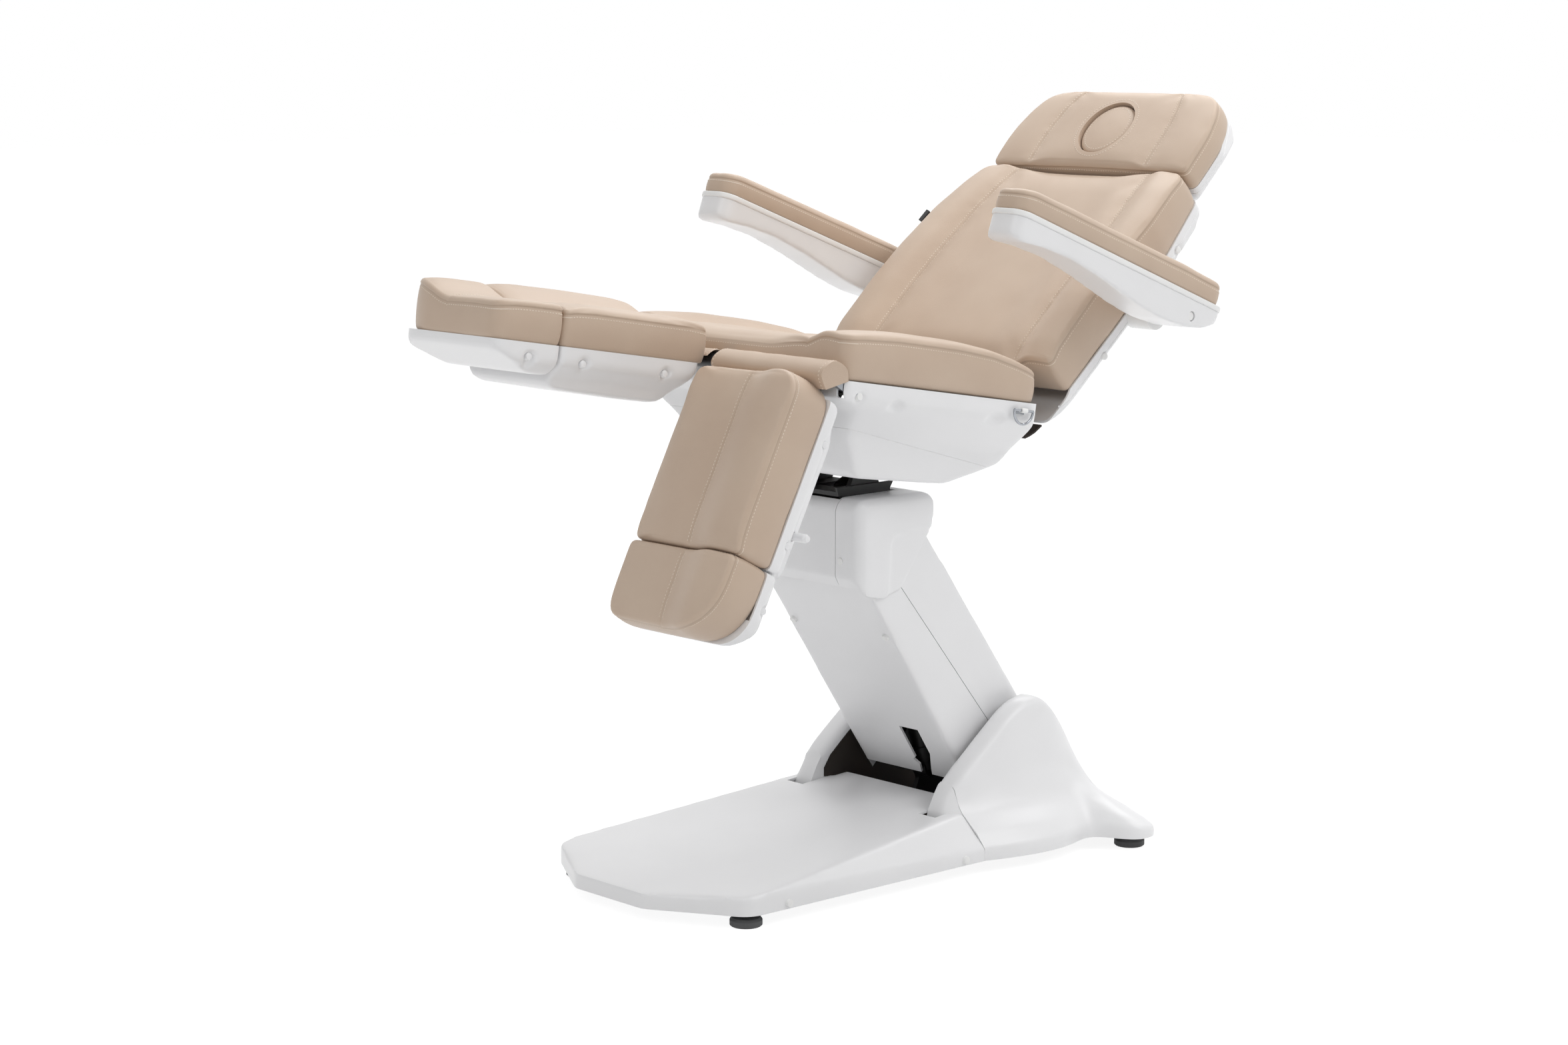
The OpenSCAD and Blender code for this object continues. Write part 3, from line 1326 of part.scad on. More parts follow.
// Armrests
arm_rim = 38;
arm_under_shares = [[-1, 0.84], [-0.985, 0.42], [-0.94, 0.30], [-0.84, 0.28], [-0.69, 0.25], [-0.53, 0.2],
  [-0.29, -0.1], [-0.155, -0.2], [-0.03, -0.14], [0.052, 0.02], [0.116, 0.38], [0.127, 0.84]];
arm_hub_len = 24;
module armrest_shell(side) {
  y0 = -arm_w / 2;
  shape = [[-arm_len, arm_rim], [-arm_len, -8], [-arm_len + 20, -13], [-404, -5], [-334, -2], [-254, -8],
    [-138, -23], [-75, -27], [-16, -20], [27, -6], [56, 13], [61, arm_rim]];
  inner = [[-arm_len + wall, arm_rim + overrun], [-arm_len + wall, -4], [-arm_len + 22, -9], [-404, -1],
    [-334, 2], [-254, -4], [-138, -19], [-75, -23], [-16, -16], [25, -2], [52, 15],
    [57, arm_rim + overrun]];
  radii = [4, 14, 20, 60, 80, 80, 80, 60, 40, 20, 14, 4];
  color(white)
    at_arm(side)
      difference() {
        union() {
          difference() {
            intersection() {
              side_slab(rounded(shape, radii), y0, -y0);
              plan_slab(rounded([[-arm_len, y0], [61, y0], [61, -y0], [-arm_len, -y0]], 26),
                -ear_z, ear_z);
            }
            intersection() {
              side_slab(rounded(inner, radii), y0 + wall, -y0 - wall);
              plan_slab(rounded([[-arm_len + wall, y0 + wall], [61 - wall, y0 + wall],
                [61 - wall, -y0 - wall], [-arm_len + wall, -y0 - wall]], 22), -ear_z, ear_z);
            }
          }
          bar_y(arm_rod_r + 6, side > 0 ? y0 + wall / 2 : -y0 - arm_hub_len - 10,
            side > 0 ? y0 + arm_hub_len + 10 : -y0 - wall / 2);
        }
        bar_y(arm_rod_r + run_gap, side > 0 ? y0 - overrun : -y0 - arm_hub_len - 9,
          side > 0 ? y0 + arm_hub_len + 9 : -y0 + overrun);
      }
}
module left_armrest_shell() { armrest_shell(-1); }
module right_armrest_shell() { armrest_shell(1); }
arm_pad_shares = [[0, 0.5, 0.82], [0.012, 0.78, 0.93], [0.05, 0.9, 1], [0.2, 0.92, 1], [0.5, 0.97, 1],
  [0.8, 1, 1], [0.95, 1, 1], [0.985, 0.85, 0.94], [1, 0.55, 0.84]];
arm_pad_h = 43;
module armrest_pad(side) {
  color(leather)
    at_arm(side)
      loft([for (s = arm_pad_shares)
        let(w = (arm_w / 2 - 1) * s[2])
        pad_ring(-arm_len + 1 + (arm_len + 50) * s[0], -w, w, arm_pad_h * s[1] * 0.9, arm_pad_h * s[1],
          arm_pad_h * s[1] * 0.9, 0.25, 0.25, arm_rim)]);
}
module left_armrest_pad() { armrest_pad(-1); }
module right_armrest_pad() { armrest_pad(1); }

// Leg rests, drawn for the right side: the leg lies along -X and outwards is +Y
leg_rim = 8;
leg_near = 38;
foot_gap = 3;
leg_out = seat_half_w - 2;
foot_rod_r = 6;
foot_rod_y = [95, 185];
knob_x = 265;
knob_n = 62;
module leg_frame() {
  color(black)
    difference() {
      union() {
        for (y = [[leg_split + 6, 60], [220, leg_out - 20]])
          bar_y(leg_pin_r + 5, y[0], y[1]);
        for (y = [[60, 74], [206, 220]])
          side_slab([[-leg_len + 19, -32], [-leg_len + 19, -14], [-52, -14], [-40, -10], [-34, -8],
            [-6, 11], [12, 4], [8, -9], [-10, -14], [-30, -24], [-52, -32]], y[0], y[1]);
        for (y = [60, 206])
          bar_y(leg_pin_r + 5, y, y + 14);
        for (x = [[-246, -226], [-320, -300]]) {
          block(x, [leg_split + wall * 3, leg_out - wall * 4], [-34, -12]);
          block(x, [leg_split + wall + seat_gap, leg_out - wall - seat_gap], [-24, -12]);
        }
        block([-knob_x - 14, -knob_x + 14], [206, 214], [-knob_n - 12, -14]);
      }
      bar_y(leg_pin_r + run_gap, 0, ear_z);
      for (y = foot_rod_y)
        bar_x(foot_rod_r + run_gap, -leg_len, 0, [y, -23]);
      bar_y(foot_rod_r + run_gap, 190, 240, [-knob_x, -knob_n]);
    }
}
function leg_side(t) = rounded([
  [-leg_near - t, -leg_rim + (t > 0 ? overrun : 0)], [-leg_near - t, -32 + t / 2], [-70, -52 + t],
  [-127, -82 + t], [-leg_len + 20, -80 + t], [-leg_len + t, -72 + t],
  [-leg_len + t, -leg_rim + (t > 0 ? overrun : 0)]], [0, 10, 20, 26, 12, 8, 0]);
function leg_section(t) = rounded([
  [leg_split + t, overrun], [leg_split + t, -36 + t / 2], [leg_split + 26 + t / 2, -60 + t / 2],
  [leg_split + 34 + t / 2, -84 + t], [leg_out - 46 - t / 2, -84 + t], [leg_out - 30 - t / 2, -56 + t / 2],
  [leg_out - t, -30 + t / 2], [leg_out - t, overrun]], [0, 12, 12, 8, 8, 16, 10, 0]);
pocket_r = 15;
module leg_shell() {
  tongue = [-450, -leg_len + wall];
  color(white) {
    difference() {
      intersection() {
        side_slab(leg_side(0), 0, leg_out);
        front_slab(leg_section(0), -leg_len, 0);
      }
      intersection() {
        side_slab(leg_side(wall), 0, leg_out);
        front_slab(leg_section(wall), -leg_len, 0);
      }
      for (y = foot_rod_y)
        bar_x(foot_rod_r + part_gap, -leg_len - overrun, -leg_len + 30, [y, -23]);
      for (y = [[58, 76], [204, 222]])
        block([-leg_near - overrun * 4, -leg_near + overrun], y, [-36, overrun]);
      bar_y(cap_r + 1, leg_out - 90, leg_out + overrun, [-knob_x, -knob_n]);
      for (x = [-110, -300])
        translate([x, leg_out + 3, -40])
          scale([1, 0.8, 1.3])
            sphere(r = pocket_r, $fn = 24);
    }
    for (x = [-110, -300])
      bar_y(cap_r, leg_out - 16, leg_out - 6, [x, -36]);
    intersection() {
      side_slab([[tongue[0], -74], [tongue[0] + 12, -64], [tongue[1], -64], [tongue[1], -78],
        [tongue[0] + 10, -78]], leg_split + 36, leg_out - 40);
      plan_slab(rounded([[tongue[0], leg_split + 36], [tongue[1], leg_split + 36],
        [tongue[1], leg_out - 40], [tongue[0], leg_out - 40]], [20, 0, 0, 20]), -ear_z, 0);
    }
  }
}
leg_pad_shares = [[0, 0.5, 0.97], [0.025, 0.8, 0.99], [0.08, 0.93, 1], [0.3, 1, 1], [0.6, 1, 1], [0.85, 0.98, 1],
  [0.96, 0.92, 0.995], [0.99, 0.76, 0.98], [1, 0.55, 0.96]];
module leg_cushion() {
  far = leg_len + foot_gap / 2;
  color(leather)
    loft([for (s = leg_pad_shares)
      let(mid = (leg_split + leg_out) / 2, w = (leg_out - leg_split) / 2 * s[2] - 1)
      pad_ring(-far + (far - leg_near) * (1 - s[0]), mid - w, mid + w, leg_inner * s[1],
        leg_inner * s[1], leg_bolster * s[1], 0.45, 0.26, -leg_rim)]);
}
foot_far = leg_len + foot_gap + foot_len;
module foot_rods() {
  color(chrome)
    for (y = foot_rod_y)
      bar_x(foot_rod_r, -foot_far + 60, -200, [y, -23]);
  color(black)
    for (q = [[wall * 3, -30], [wall + seat_gap, -20]])
      block([-foot_far + 42, -foot_far + 70], [leg_split + q[0], leg_out - q[0]], [q[1], -leg_rim]);
}
function foot_side(t) = rounded([
  [-leg_len - foot_gap - t, -leg_rim + (t > 0 ? overrun : 0)], [-leg_len - foot_gap - t, -55 + t],
  [-foot_far + 34, -55 + t], [-foot_far + t, -32 + t], [-foot_far + t, -leg_rim + (t > 0 ? overrun : 0)]],
  [0, 8, 20, 12, 0]);
function foot_plan(t) = rounded([
  [-leg_len - foot_gap - t, leg_split + t], [-leg_len - foot_gap - t, leg_out - t],
  [-foot_far + 26, leg_out - t], [-foot_far + t, leg_out - 30 - t],
  [-foot_far + t, leg_split + t]], [0, 0, 34, 30, 14]);
module foot_shell() {
  color(white)
    difference() {
      intersection() {
        side_slab(foot_side(0), 0, leg_out);
        plan_slab(foot_plan(0), -ear_z, 0);
        front_slab(rounded([[leg_split, overrun], [leg_split, -40], [leg_split + 30, -56],
          [leg_out - 34, -56], [leg_out, -32], [leg_out, overrun]], [0, 12, 12, 12, 12, 0]),
          -foot_far - overrun, 0);
      }
      intersection() {
        side_slab(foot_side(wall), 0, leg_out);
        plan_slab(foot_plan(wall), -ear_z, overrun);
        front_slab(rounded([[leg_split + wall, overrun], [leg_split + wall, -38],
          [leg_split + 32, -52], [leg_out - 36, -52], [leg_out - wall, -30],
          [leg_out - wall, overrun]], [0, 10, 10, 10, 10, 0]), -foot_far - overrun, 0);
      }
      for (y = foot_rod_y)
        bar_x(foot_rod_r + part_gap, -foot_far + 80, 0, [y, -23]);
      translate([-foot_far + 60, leg_out + 4, -32])
        scale([1, 0.8, 1.1])
          sphere(r = pocket_r, $fn = 24);
    }
}
foot_pad_shares = [[0, 0.62, 0.96, 0], [0.05, 0.9, 0.99, 0], [0.2, 1, 1, 0], [0.45, 1, 1, 0], [0.68, 0.97, 1, 0],
  [0.84, 0.92, 0.98, 0.06], [0.94, 0.82, 0.95, 0.14], [1, 0.5, 0.9, 0.24]];
module foot_cushion() {
  near = leg_len + foot_gap;
  color(leather)
    loft([for (s = foot_pad_shares)
      let(y0 = leg_split + (1 - s[2]) * 60 + 1, y1 = leg_out - (leg_out - leg_split) * s[3] - (1 - s[2]) * 60 - 1)
      pad_ring(-near - foot_len * s[0], y0, y1, leg_inner * s[1], leg_inner * s[1],
        leg_bolster * s[1] * (1 - s[3] * 0.6), 0.45, 0.26, -leg_rim)]);
}
// Turned knob: rod's inner end, base disc, waist and outer end, from the middle plane
knob_from = 180;
knob_y = 236;
knob_disc = 10;
knob_edge = 2;
knob_neck = 5;
knob_end = 286;
module knob() {
  color(white)
    translate([-knob_x, 0, -knob_n])
      rotate([-90, 0, 0])
        rotate_extrude($fn = 32)
          polygon([[0, knob_from], [foot_rod_r, knob_from], [foot_rod_r, knob_y],
            [cap_r, knob_y + knob_edge], [cap_r, knob_y + knob_disc],
            [knob_neck, knob_y + knob_disc + knob_edge],
            [knob_neck, knob_y + knob_disc + knob_edge * 3],
            [cap_r, knob_y + knob_disc + knob_edge * 4],
            [cap_r, knob_end - knob_neck - 1], [knob_neck, knob_end - 1], [0, knob_end]]);
}

module left_leg_frame() { at_leg(-1) leg_frame(); }
module right_leg_frame() { at_leg(1) leg_frame(); }
module left_leg_shell() { at_leg(-1) leg_shell(); }
module right_leg_shell() { at_leg(1) leg_shell(); }
module left_leg_cushion() { at_leg(-1) leg_cushion(); }
module right_leg_cushion() { at_leg(1) leg_cushion(); }
module left_foot_rods() { at_leg(-1) foot_rods(); }
module right_foot_rods() { at_leg(1) foot_rods(); }
module left_foot_shell() { at_leg(-1) foot_shell(); }
module right_foot_shell() { at_leg(1) foot_shell(); }
module left_foot_cushion() { at_leg(-1) foot_cushion(); }
module right_foot_cushion() { at_leg(1) foot_cushion(); }
module left_knob() { at_leg(-1) knob(); }
module right_knob() { at_leg(1) knob(); }

base_front_cover();
base_rear_cover();
base_frame();
lift_tower();
mains_inlet();
control_box();
foot_front_left();
foot_front_right();
foot_rear_left();
foot_rear_right();
lift_arm_placed();  // lift_arm
column_front_cover();
column_rear_cover();
level_link();
lift_motor();
lift_rod();
head_block();
knuckle_front_cover();
knuckle_left_cover();
knuckle_right_cover();
seat_frame();
seat_shell();
seat_cushion();
left_flap();
right_flap();
tilt_motor();
tilt_rod();
back_motor();
back_rod();
left_ring();
right_ring();
back_frame();
back_shell();
back_cushion();
rear_apron();
handset_hook();
head_slide();
head_shell();
head_cushion();
face_plug();
left_armrest_shell();
right_armrest_shell();
left_armrest_pad();
right_armrest_pad();
left_leg_frame();
right_leg_frame();
left_leg_shell();
right_leg_shell();
left_leg_cushion();
right_leg_cushion();
left_foot_rods();
right_foot_rods();
left_foot_shell();
right_foot_shell();
left_foot_cushion();
right_foot_cushion();
left_knob();
right_knob();
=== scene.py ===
"""Electric podiatry chair in a white studio: padded leather pieces and moulded covers
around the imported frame. Lengths are in millimetres until a piece takes its place."""
import math
import random

import bpy
import bmesh
import numpy as np
from mathutils import Matrix, Vector, noise
from mathutils.bvhtree import BVHTree


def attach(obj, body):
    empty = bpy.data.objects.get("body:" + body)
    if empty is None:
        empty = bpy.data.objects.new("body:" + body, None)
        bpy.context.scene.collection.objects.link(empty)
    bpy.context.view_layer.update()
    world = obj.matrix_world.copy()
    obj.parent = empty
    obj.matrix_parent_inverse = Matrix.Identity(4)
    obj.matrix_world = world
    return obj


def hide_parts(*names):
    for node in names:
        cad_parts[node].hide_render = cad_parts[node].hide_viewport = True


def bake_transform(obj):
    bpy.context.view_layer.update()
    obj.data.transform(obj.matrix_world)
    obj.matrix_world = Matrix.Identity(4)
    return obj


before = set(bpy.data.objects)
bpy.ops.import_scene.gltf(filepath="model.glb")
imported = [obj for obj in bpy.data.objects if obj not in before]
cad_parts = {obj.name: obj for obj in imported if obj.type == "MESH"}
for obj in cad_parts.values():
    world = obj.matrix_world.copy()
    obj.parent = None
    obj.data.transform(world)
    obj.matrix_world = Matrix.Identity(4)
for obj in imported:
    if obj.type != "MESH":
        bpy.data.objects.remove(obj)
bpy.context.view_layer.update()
random.seed(7)

MM = 0.001
WALL = 4.0  # of the moulded covers

# Sizes shared with the frame
LIFT = (232.0, 195.0)
COLUMN_LEN, COLUMN_ANGLE = 490.0, 54.5
TILT_RISE, SEAT_TILT = 121.0, 9.4
BOARD, SEAT_HALF, SEAT_REAR = 142.0, 285.0, 205.0
BACK_U, BACK_ANGLE, BACK_LEN = 245.0, 49.5, 540.0
BACK_HALF, BACK_TOP_HALF = 276.0, 246.0
HEAD_HALF = 240.0
ARM_P, ARM_Y, ARM_W, ARM_LEN, ARM_ANGLE = 259.0, 365.0, 80.0, 482.0, 60.7
LEFT_FOLD, SPLIT = 71.75, 8.0
LEG_OUT = SEAT_HALF - 2
COLUMN_HALF, COLUMN_INNER, WELL = 133.5, 129.5, 149.6


def turned(degrees):
    return Matrix.Rotation(math.radians(degrees), 4, "Y")


def moved(x, y, z):
    return Matrix.Translation((x, y, z))


TOP = (LIFT[0] - COLUMN_LEN * math.cos(math.radians(COLUMN_ANGLE)),
       LIFT[1] + COLUMN_LEN * math.sin(math.radians(COLUMN_ANGLE)))
COLUMN = moved(LIFT[0], 0, LIFT[1]) @ turned(COLUMN_ANGLE)
HOUSING = moved(TOP[0], 0, TOP[1])
SEAT = moved(TOP[0], 0, TOP[1] + TILT_RISE) @ turned(SEAT_TILT)
BACK = SEAT @ moved(BACK_U, 0, BOARD) @ turned(-BACK_ANGLE)
HEAD = BACK @ moved(545, 0, -15) @ turned(-4)
ARM = {s: BACK @ moved(ARM_P, s * ARM_Y, -18) @ turned(ARM_ANGLE) for s in (-1, 1)}
LEG = {s: SEAT @ moved(-298, 0, 150) @ turned(-LEFT_FOLD if s < 0 else 0)
       @ Matrix.Diagonal((1, s, 1, 1)) for s in (-1, 1)}
SIDE = {-1: "left", 1: "right"}
TITLE = {-1: "Left", 1: "Right"}


# Materials
def linear(text):
    """An sRGB hex colour as the linear values that a shader takes."""
    parts = [int(text[i:i + 2], 16) / 255 for i in (1, 3, 5)]
    return tuple(c / 12.92 if c <= 0.04045 else ((c + 0.055) / 1.055) ** 2.4 for c in parts) + (1.0,)


def add(tree, kind, links=(), **settings):
    """Adds a node with its settings, and links (socket, from node, its output) into it."""
    node = tree.nodes.new(kind)
    for key, value in settings.items():
        if key.startswith("in_"):
            node.inputs[key[3:].replace("_", " ")].default_value = value
        else:
            setattr(node, key, value)
    for socket, source, output in links:
        tree.links.new(source.outputs[output], node.inputs[socket])
    return node


def surface(name, colour, roughness, metallic=0.0, **sockets):
    """A material with one Principled shader, and that shader."""
    mat = bpy.data.materials.new(name)
    mat.use_nodes = True
    shader = mat.node_tree.nodes["Principled BSDF"]
    shader.inputs["Base Color"].default_value = linear(colour)
    shader.inputs["Roughness"].default_value = roughness
    shader.inputs["Metallic"].default_value = metallic
    for key, value in sockets.items():
        shader.inputs[key.replace("_", " ")].default_value = value
    return mat, mat.node_tree, shader


def mottled(tree, shader, colour, darker, scale):
    """Colour that drifts between two close tones over the surface."""
    place = add(tree, "ShaderNodeTexCoord")
    cloud = add(tree, "ShaderNodeTexNoise", [("Vector", place, "Object")], in_Scale=scale,
                in_Detail=3.0)
    ramp = add(tree, "ShaderNodeValToRGB", [("Fac", cloud, "Fac")])
    for end, at, tone in zip(ramp.color_ramp.elements, (0.35, 0.65), (darker, colour)):
        end.position, end.color = at, linear(tone)
    tree.links.new(ramp.outputs["Color"], shader.inputs["Base Color"])
    return place, ramp


def relief(tree, shader, height, output, depth, strength, under=None):
    """Bumps of this depth in metres on the shader, over another bump where one is given."""
    bump = add(tree, "ShaderNodeBump", [("Height", height, output)], in_Strength=strength,
               in_Distance=depth)
    if under:
        tree.links.new(under.outputs["Normal"], bump.inputs["Normal"])
    tree.links.new(bump.outputs["Normal"], shader.inputs["Normal"])


def make_leather():
    # Polyurethane upholstery leather, embossed: pebbles of 1.1 mm, drawn coarse enough to show
    mat, tree, shader = surface("Upholstery_leather", "#C7B19D", 0.46, Sheen_Weight=0.12,
                                Sheen_Roughness=0.5, Specular_IOR_Level=0.42)
    place, ramp = mottled(tree, shader, "#C9B4A0", "#C4AE9A", 7.0)
    # Painted shade: the seam grooves and the rolled top edge seam take a darker colour, #A08A76,
    # through a vertex attribute that the cushions write
    crease = add(tree, "ShaderNodeAttribute", attribute_name="crease")
    dark = add(tree, "ShaderNodeMix", [("Factor", crease, "Fac"), (6, ramp, "Color")], data_type="RGBA")
    dark.inputs[7].default_value = linear("#A08A76")
    tree.links.new(dark.outputs[2], shader.inputs["Base Color"])
    pebble = add(tree, "ShaderNodeTexVoronoi", [("Vector", place, "Object")], in_Scale=900.0)
    drift = add(tree, "ShaderNodeTexNoise", [("Vector", place, "Object")], in_Scale=45.0, in_Detail=2.0)
    first = add(tree, "ShaderNodeBump", [("Height", drift, "Fac")], in_Strength=0.25,
                in_Distance=0.0006)
    relief(tree, shader, pebble, "Distance", 0.00035, 0.35, first)
    return mat


def make_plastic(name, colour, darker, roughness):
    # Injection-moulded ABS, polished tool: smooth with a faint orange peel over centimetres
    mat, tree, shader = surface(name, colour, roughness, Specular_IOR_Level=0.5, IOR=1.5)
    place, _ = mottled(tree, shader, colour, darker, 4.0)
    peel = add(tree, "ShaderNodeTexNoise", [("Vector", place, "Object")], in_Scale=160.0, in_Detail=1.0)
    relief(tree, shader, peel, "Fac", 0.0002, 0.12)
    return mat


def make_rough(name, colour, darker, roughness, grain, depth):
    # Fine grained surface: powder coat, rubber or nylon, by its grain size in grains per metre
    mat, tree, shader = surface(name, colour, roughness)
    place, _ = mottled(tree, shader, colour, darker, 12.0)
    speck = add(tree, "ShaderNodeTexNoise", [("Vector", place, "Object")], in_Scale=grain,
                in_Detail=2.0)
    relief(tree, shader, speck, "Fac", depth, 0.4)
    return mat


def make_brushed():
    # Zinc-plated mild steel plate: rolled lines 0.5 mm apart, slightly uneven shine
    mat, tree, shader = surface("Zinc_plated_steel", "#9C9FA3", 0.38, 1.0)
    place = add(tree, "ShaderNodeTexCoord")
    stretch = add(tree, "ShaderNodeMapping", [("Vector", place, "Object")],
                  in_Scale=(40.0, 1800.0, 1800.0))
    lines = add(tree, "ShaderNodeTexNoise", [("Vector", stretch, "Vector")], in_Scale=1.0,
                in_Detail=2.0)
    relief(tree, shader, lines, "Fac", 0.0001, 0.3)
    ramp = add(tree, "ShaderNodeValToRGB", [("Fac", lines, "Fac")])
    ramp.color_ramp.elements[0].color = linear("#8F9296")
    ramp.color_ramp.elements[1].color = linear("#A9ACB0")
    tree.links.new(ramp.outputs["Color"], shader.inputs["Base Color"])
    return mat


def make_chrome():
    # Polished chromium plate: mirror with faint handling haze
    mat, tree, shader = surface("Polished_chromium", "#A3A6AB", 0.1, 1.0)
    place = add(tree, "ShaderNodeTexCoord")
    haze = add(tree, "ShaderNodeTexNoise", [("Vector", place, "Object")], in_Scale=30.0, in_Detail=2.0)
    span = add(tree, "ShaderNodeMapRange", [("Value", haze, "Fac")])
    span.inputs["To Min"].default_value, span.inputs["To Max"].default_value = 0.07, 0.16
    tree.links.new(span.outputs["Result"], shader.inputs["Roughness"])
    return mat


LEATHER = make_leather()
# Bonded polyester thread, a little lighter than the leather and dull
THREAD = make_rough("Bonded_polyester_thread", "#E6D8C9", "#DCCCBB", 0.6, 2500.0, 0.0002)
# Gloss white ABS covers and the slightly warmer nylon of their screw caps
WHITE = make_plastic("Gloss_moulded_ABS", "#F0F0F1", "#EDEDEE", 0.3)
CAPS = make_plastic("White_nylon_caps", "#F4F4F3", "#EFEFEE", 0.36)
# Powder-coated steel, glass-filled nylon, rubber feet, and a dark brown sheet that paints the shade in
# the dark gaps
BLACK_PAINT = make_rough("Black_powder_coat", "#1C1C1D", "#151516", 0.5, 1600.0, 0.0002)
NYLON = make_rough("Black_moulded_nylon", "#161616", "#0F0F0F", 0.45, 1200.0, 0.0002)
RUBBER = make_rough("Moulded_grey_rubber", "#565758", "#4C4D4E", 0.7, 700.0, 0.0003)
PAINTED_GAP_SHADE = make_rough("Dark_brown_fibre_board", "#2A2019", "#1F1813", 0.75, 500.0, 0.0003)
STEEL = make_brushed()
CHROME = make_chrome()
# Record slot, material and smoothing angle of the pieces that scene.py adds
COVERED, SEWN = ("leather_tan", LEATHER, 60), ("leather_tan", THREAD, 60)
MOULDED, CAPPED = ("cover_white", WHITE, 38), ("cover_white", CAPS, 40)


# Mesh tools
def only(obj):
    """Selects one object and nothing else, as the operators expect."""
    if bpy.context.object and bpy.context.object.mode != "OBJECT":
        bpy.ops.object.mode_set(mode="OBJECT")
    bpy.ops.object.select_all(action="DESELECT")
    obj.select_set(True)
    bpy.context.view_layer.objects.active = obj


def applied(obj, kind, **settings):
    """Adds a modifier with these settings and applies it."""
    only(obj)
    mod = obj.modifiers.new(kind, kind)
    for key, value in settings.items():
        setattr(mod, key, value)
    bpy.ops.object.modifier_apply(modifier=mod.name)
    return obj


def outward(obj):
    """Turns every face outward."""
    only(obj)
    bpy.ops.object.mode_set(mode="EDIT")
    bpy.ops.mesh.select_all(action="SELECT")
    bpy.ops.mesh.normals_make_consistent(inside=False)
    bpy.ops.object.mode_set(mode="OBJECT")


def rounded(points, radii, steps=6):
    """An outline whose corners are arcs; radii is one size or one for each corner."""
    out = []
    count = len(points)
    for i, p in enumerate(points):
        r = radii[i] if isinstance(radii, (list, tuple)) else radii
        p = Vector(p)
        a, b = Vector(points[i - 1]) - p, Vector(points[(i + 1) % count]) - p
        if r <= 0 or a.length < 1e-6 or b.length < 1e-6:
            out.append(tuple(p))
            continue
        bend = a.angle(b)
        if bend > math.pi - 0.02:
            out.append(tuple(p))
            continue
        reach = min(r / math.tan(bend / 2), 0.46 * a.length, 0.46 * b.length)
        rad = reach * math.tan(bend / 2)
        u, v = a.normalized(), b.normalized()
        mid = p + (u + v).normalized() * rad / math.sin(bend / 2)
        s, e = p + u * reach - mid, p + v * reach - mid
        a0 = math.atan2(s.y, s.x)
        sweep = (math.atan2(e.y, e.x) - a0 + math.pi) % (2 * math.pi) - math.pi
        out += [(mid.x + rad * math.cos(a0 + sweep * k / steps),
                 mid.y + rad * math.sin(a0 + sweep * k / steps))
                for k in range(steps + 1)]
    return out


def skinned(verts, faces):
    """A mesh from its corners in metres and its faces, turned outward."""
    bpy.ops.object.select_all(action="DESELECT")
    bpy.ops.mesh.primitive_plane_add()
    obj = bpy.context.object
    bm = bmesh.new()
    made = [bm.verts.new(v) for v in verts]
    for face in faces:
        bm.faces.new([made[i] for i in face])
    bmesh.ops.recalc_face_normals(bm, faces=bm.faces)
    bm.to_mesh(obj.data)
    bm.free()
    return obj


def circle(radius, sides, at=(0.0, 0.0)):
    """Points round a circle."""
    turns = [2 * math.pi * k / sides for k in range(sides)]
    return [(at[0] + radius * math.cos(a), at[1] + radius * math.sin(a)) for a in turns]


def on(s, low, high):
    """A range across the chair, on side s of its middle."""
    return tuple(sorted((s * low, s * high)))


def prism(points, axis, low, high):
    """A closed slab: an outline across an axis, drawn out along it. Axis y takes (x, z)."""
    bpy.ops.object.select_all(action="DESELECT")
    bpy.ops.mesh.primitive_circle_add(vertices=len(points), fill_type="NGON")
    obj = bpy.context.object
    for v, (a, b) in zip(obj.data.vertices, points):
        v.co = {"x": (low, a, b), "y": (a, low, b), "z": (a, b, low)}[axis]
        v.co = v.co * MM
    step = [(high - low) * MM if k == axis else 0.0 for k in "xyz"]
    bpy.ops.object.mode_set(mode="EDIT")
    bpy.ops.mesh.select_all(action="SELECT")
    bpy.ops.mesh.extrude_region_move(TRANSFORM_OT_translate={"value": step})
    bpy.ops.object.mode_set(mode="OBJECT")
    outward(obj)
    return obj


def box(x, y, z):
    """A block from its three ranges, to cut or to join with."""
    return prism([(x[0], y[0]), (x[1], y[0]), (x[1], y[1]), (x[0], y[1])], "z", z[0], z[1])


def ball(at, size):
    """A stretched sphere that carves a scallop."""
    bpy.ops.object.select_all(action="DESELECT")
    bpy.ops.mesh.primitive_uv_sphere_add(segments=32, ring_count=16)
    obj = bpy.context.object
    obj.data.transform(Matrix.Scale(MM, 4) @ moved(*at) @ Matrix.Diagonal((*size, 1)))
    return obj


def rod(axis, radius, low, high, at, sides=32):
    """A round bar along an axis."""
    return prism(circle(radius, sides, at), axis, low, high)


def joined(base, tools, operation):
    """Union, difference or intersection of one piece with others, which are used up."""
    for tool in tools:
        applied(base, "BOOLEAN", object=tool, operation=operation, solver="MANIFOLD")
        bpy.data.objects.remove(tool)
    return base


def softened(obj, voxel, rounds):
    """Even faces and soft edges, as a mould gives."""
    applied(obj, "REMESH", mode="VOXEL", voxel_size=voxel * MM)
    return applied(obj, "SMOOTH", factor=0.5, iterations=rounds)


def cut_at(obj, at, normal):
    """Cuts away what lies beyond a plane."""
    only(obj)
    bpy.ops.object.mode_set(mode="EDIT")
    bpy.ops.mesh.select_all(action="SELECT")
    bpy.ops.mesh.bisect(plane_co=[c * MM for c in at], plane_no=normal, clear_outer=True)
    bpy.ops.object.mode_set(mode="OBJECT")


def walled(obj, wall=WALL):
    """Gives a skin its wall, inward."""
    return applied(obj, "SOLIDIFY", thickness=wall * MM, offset=-1.0)


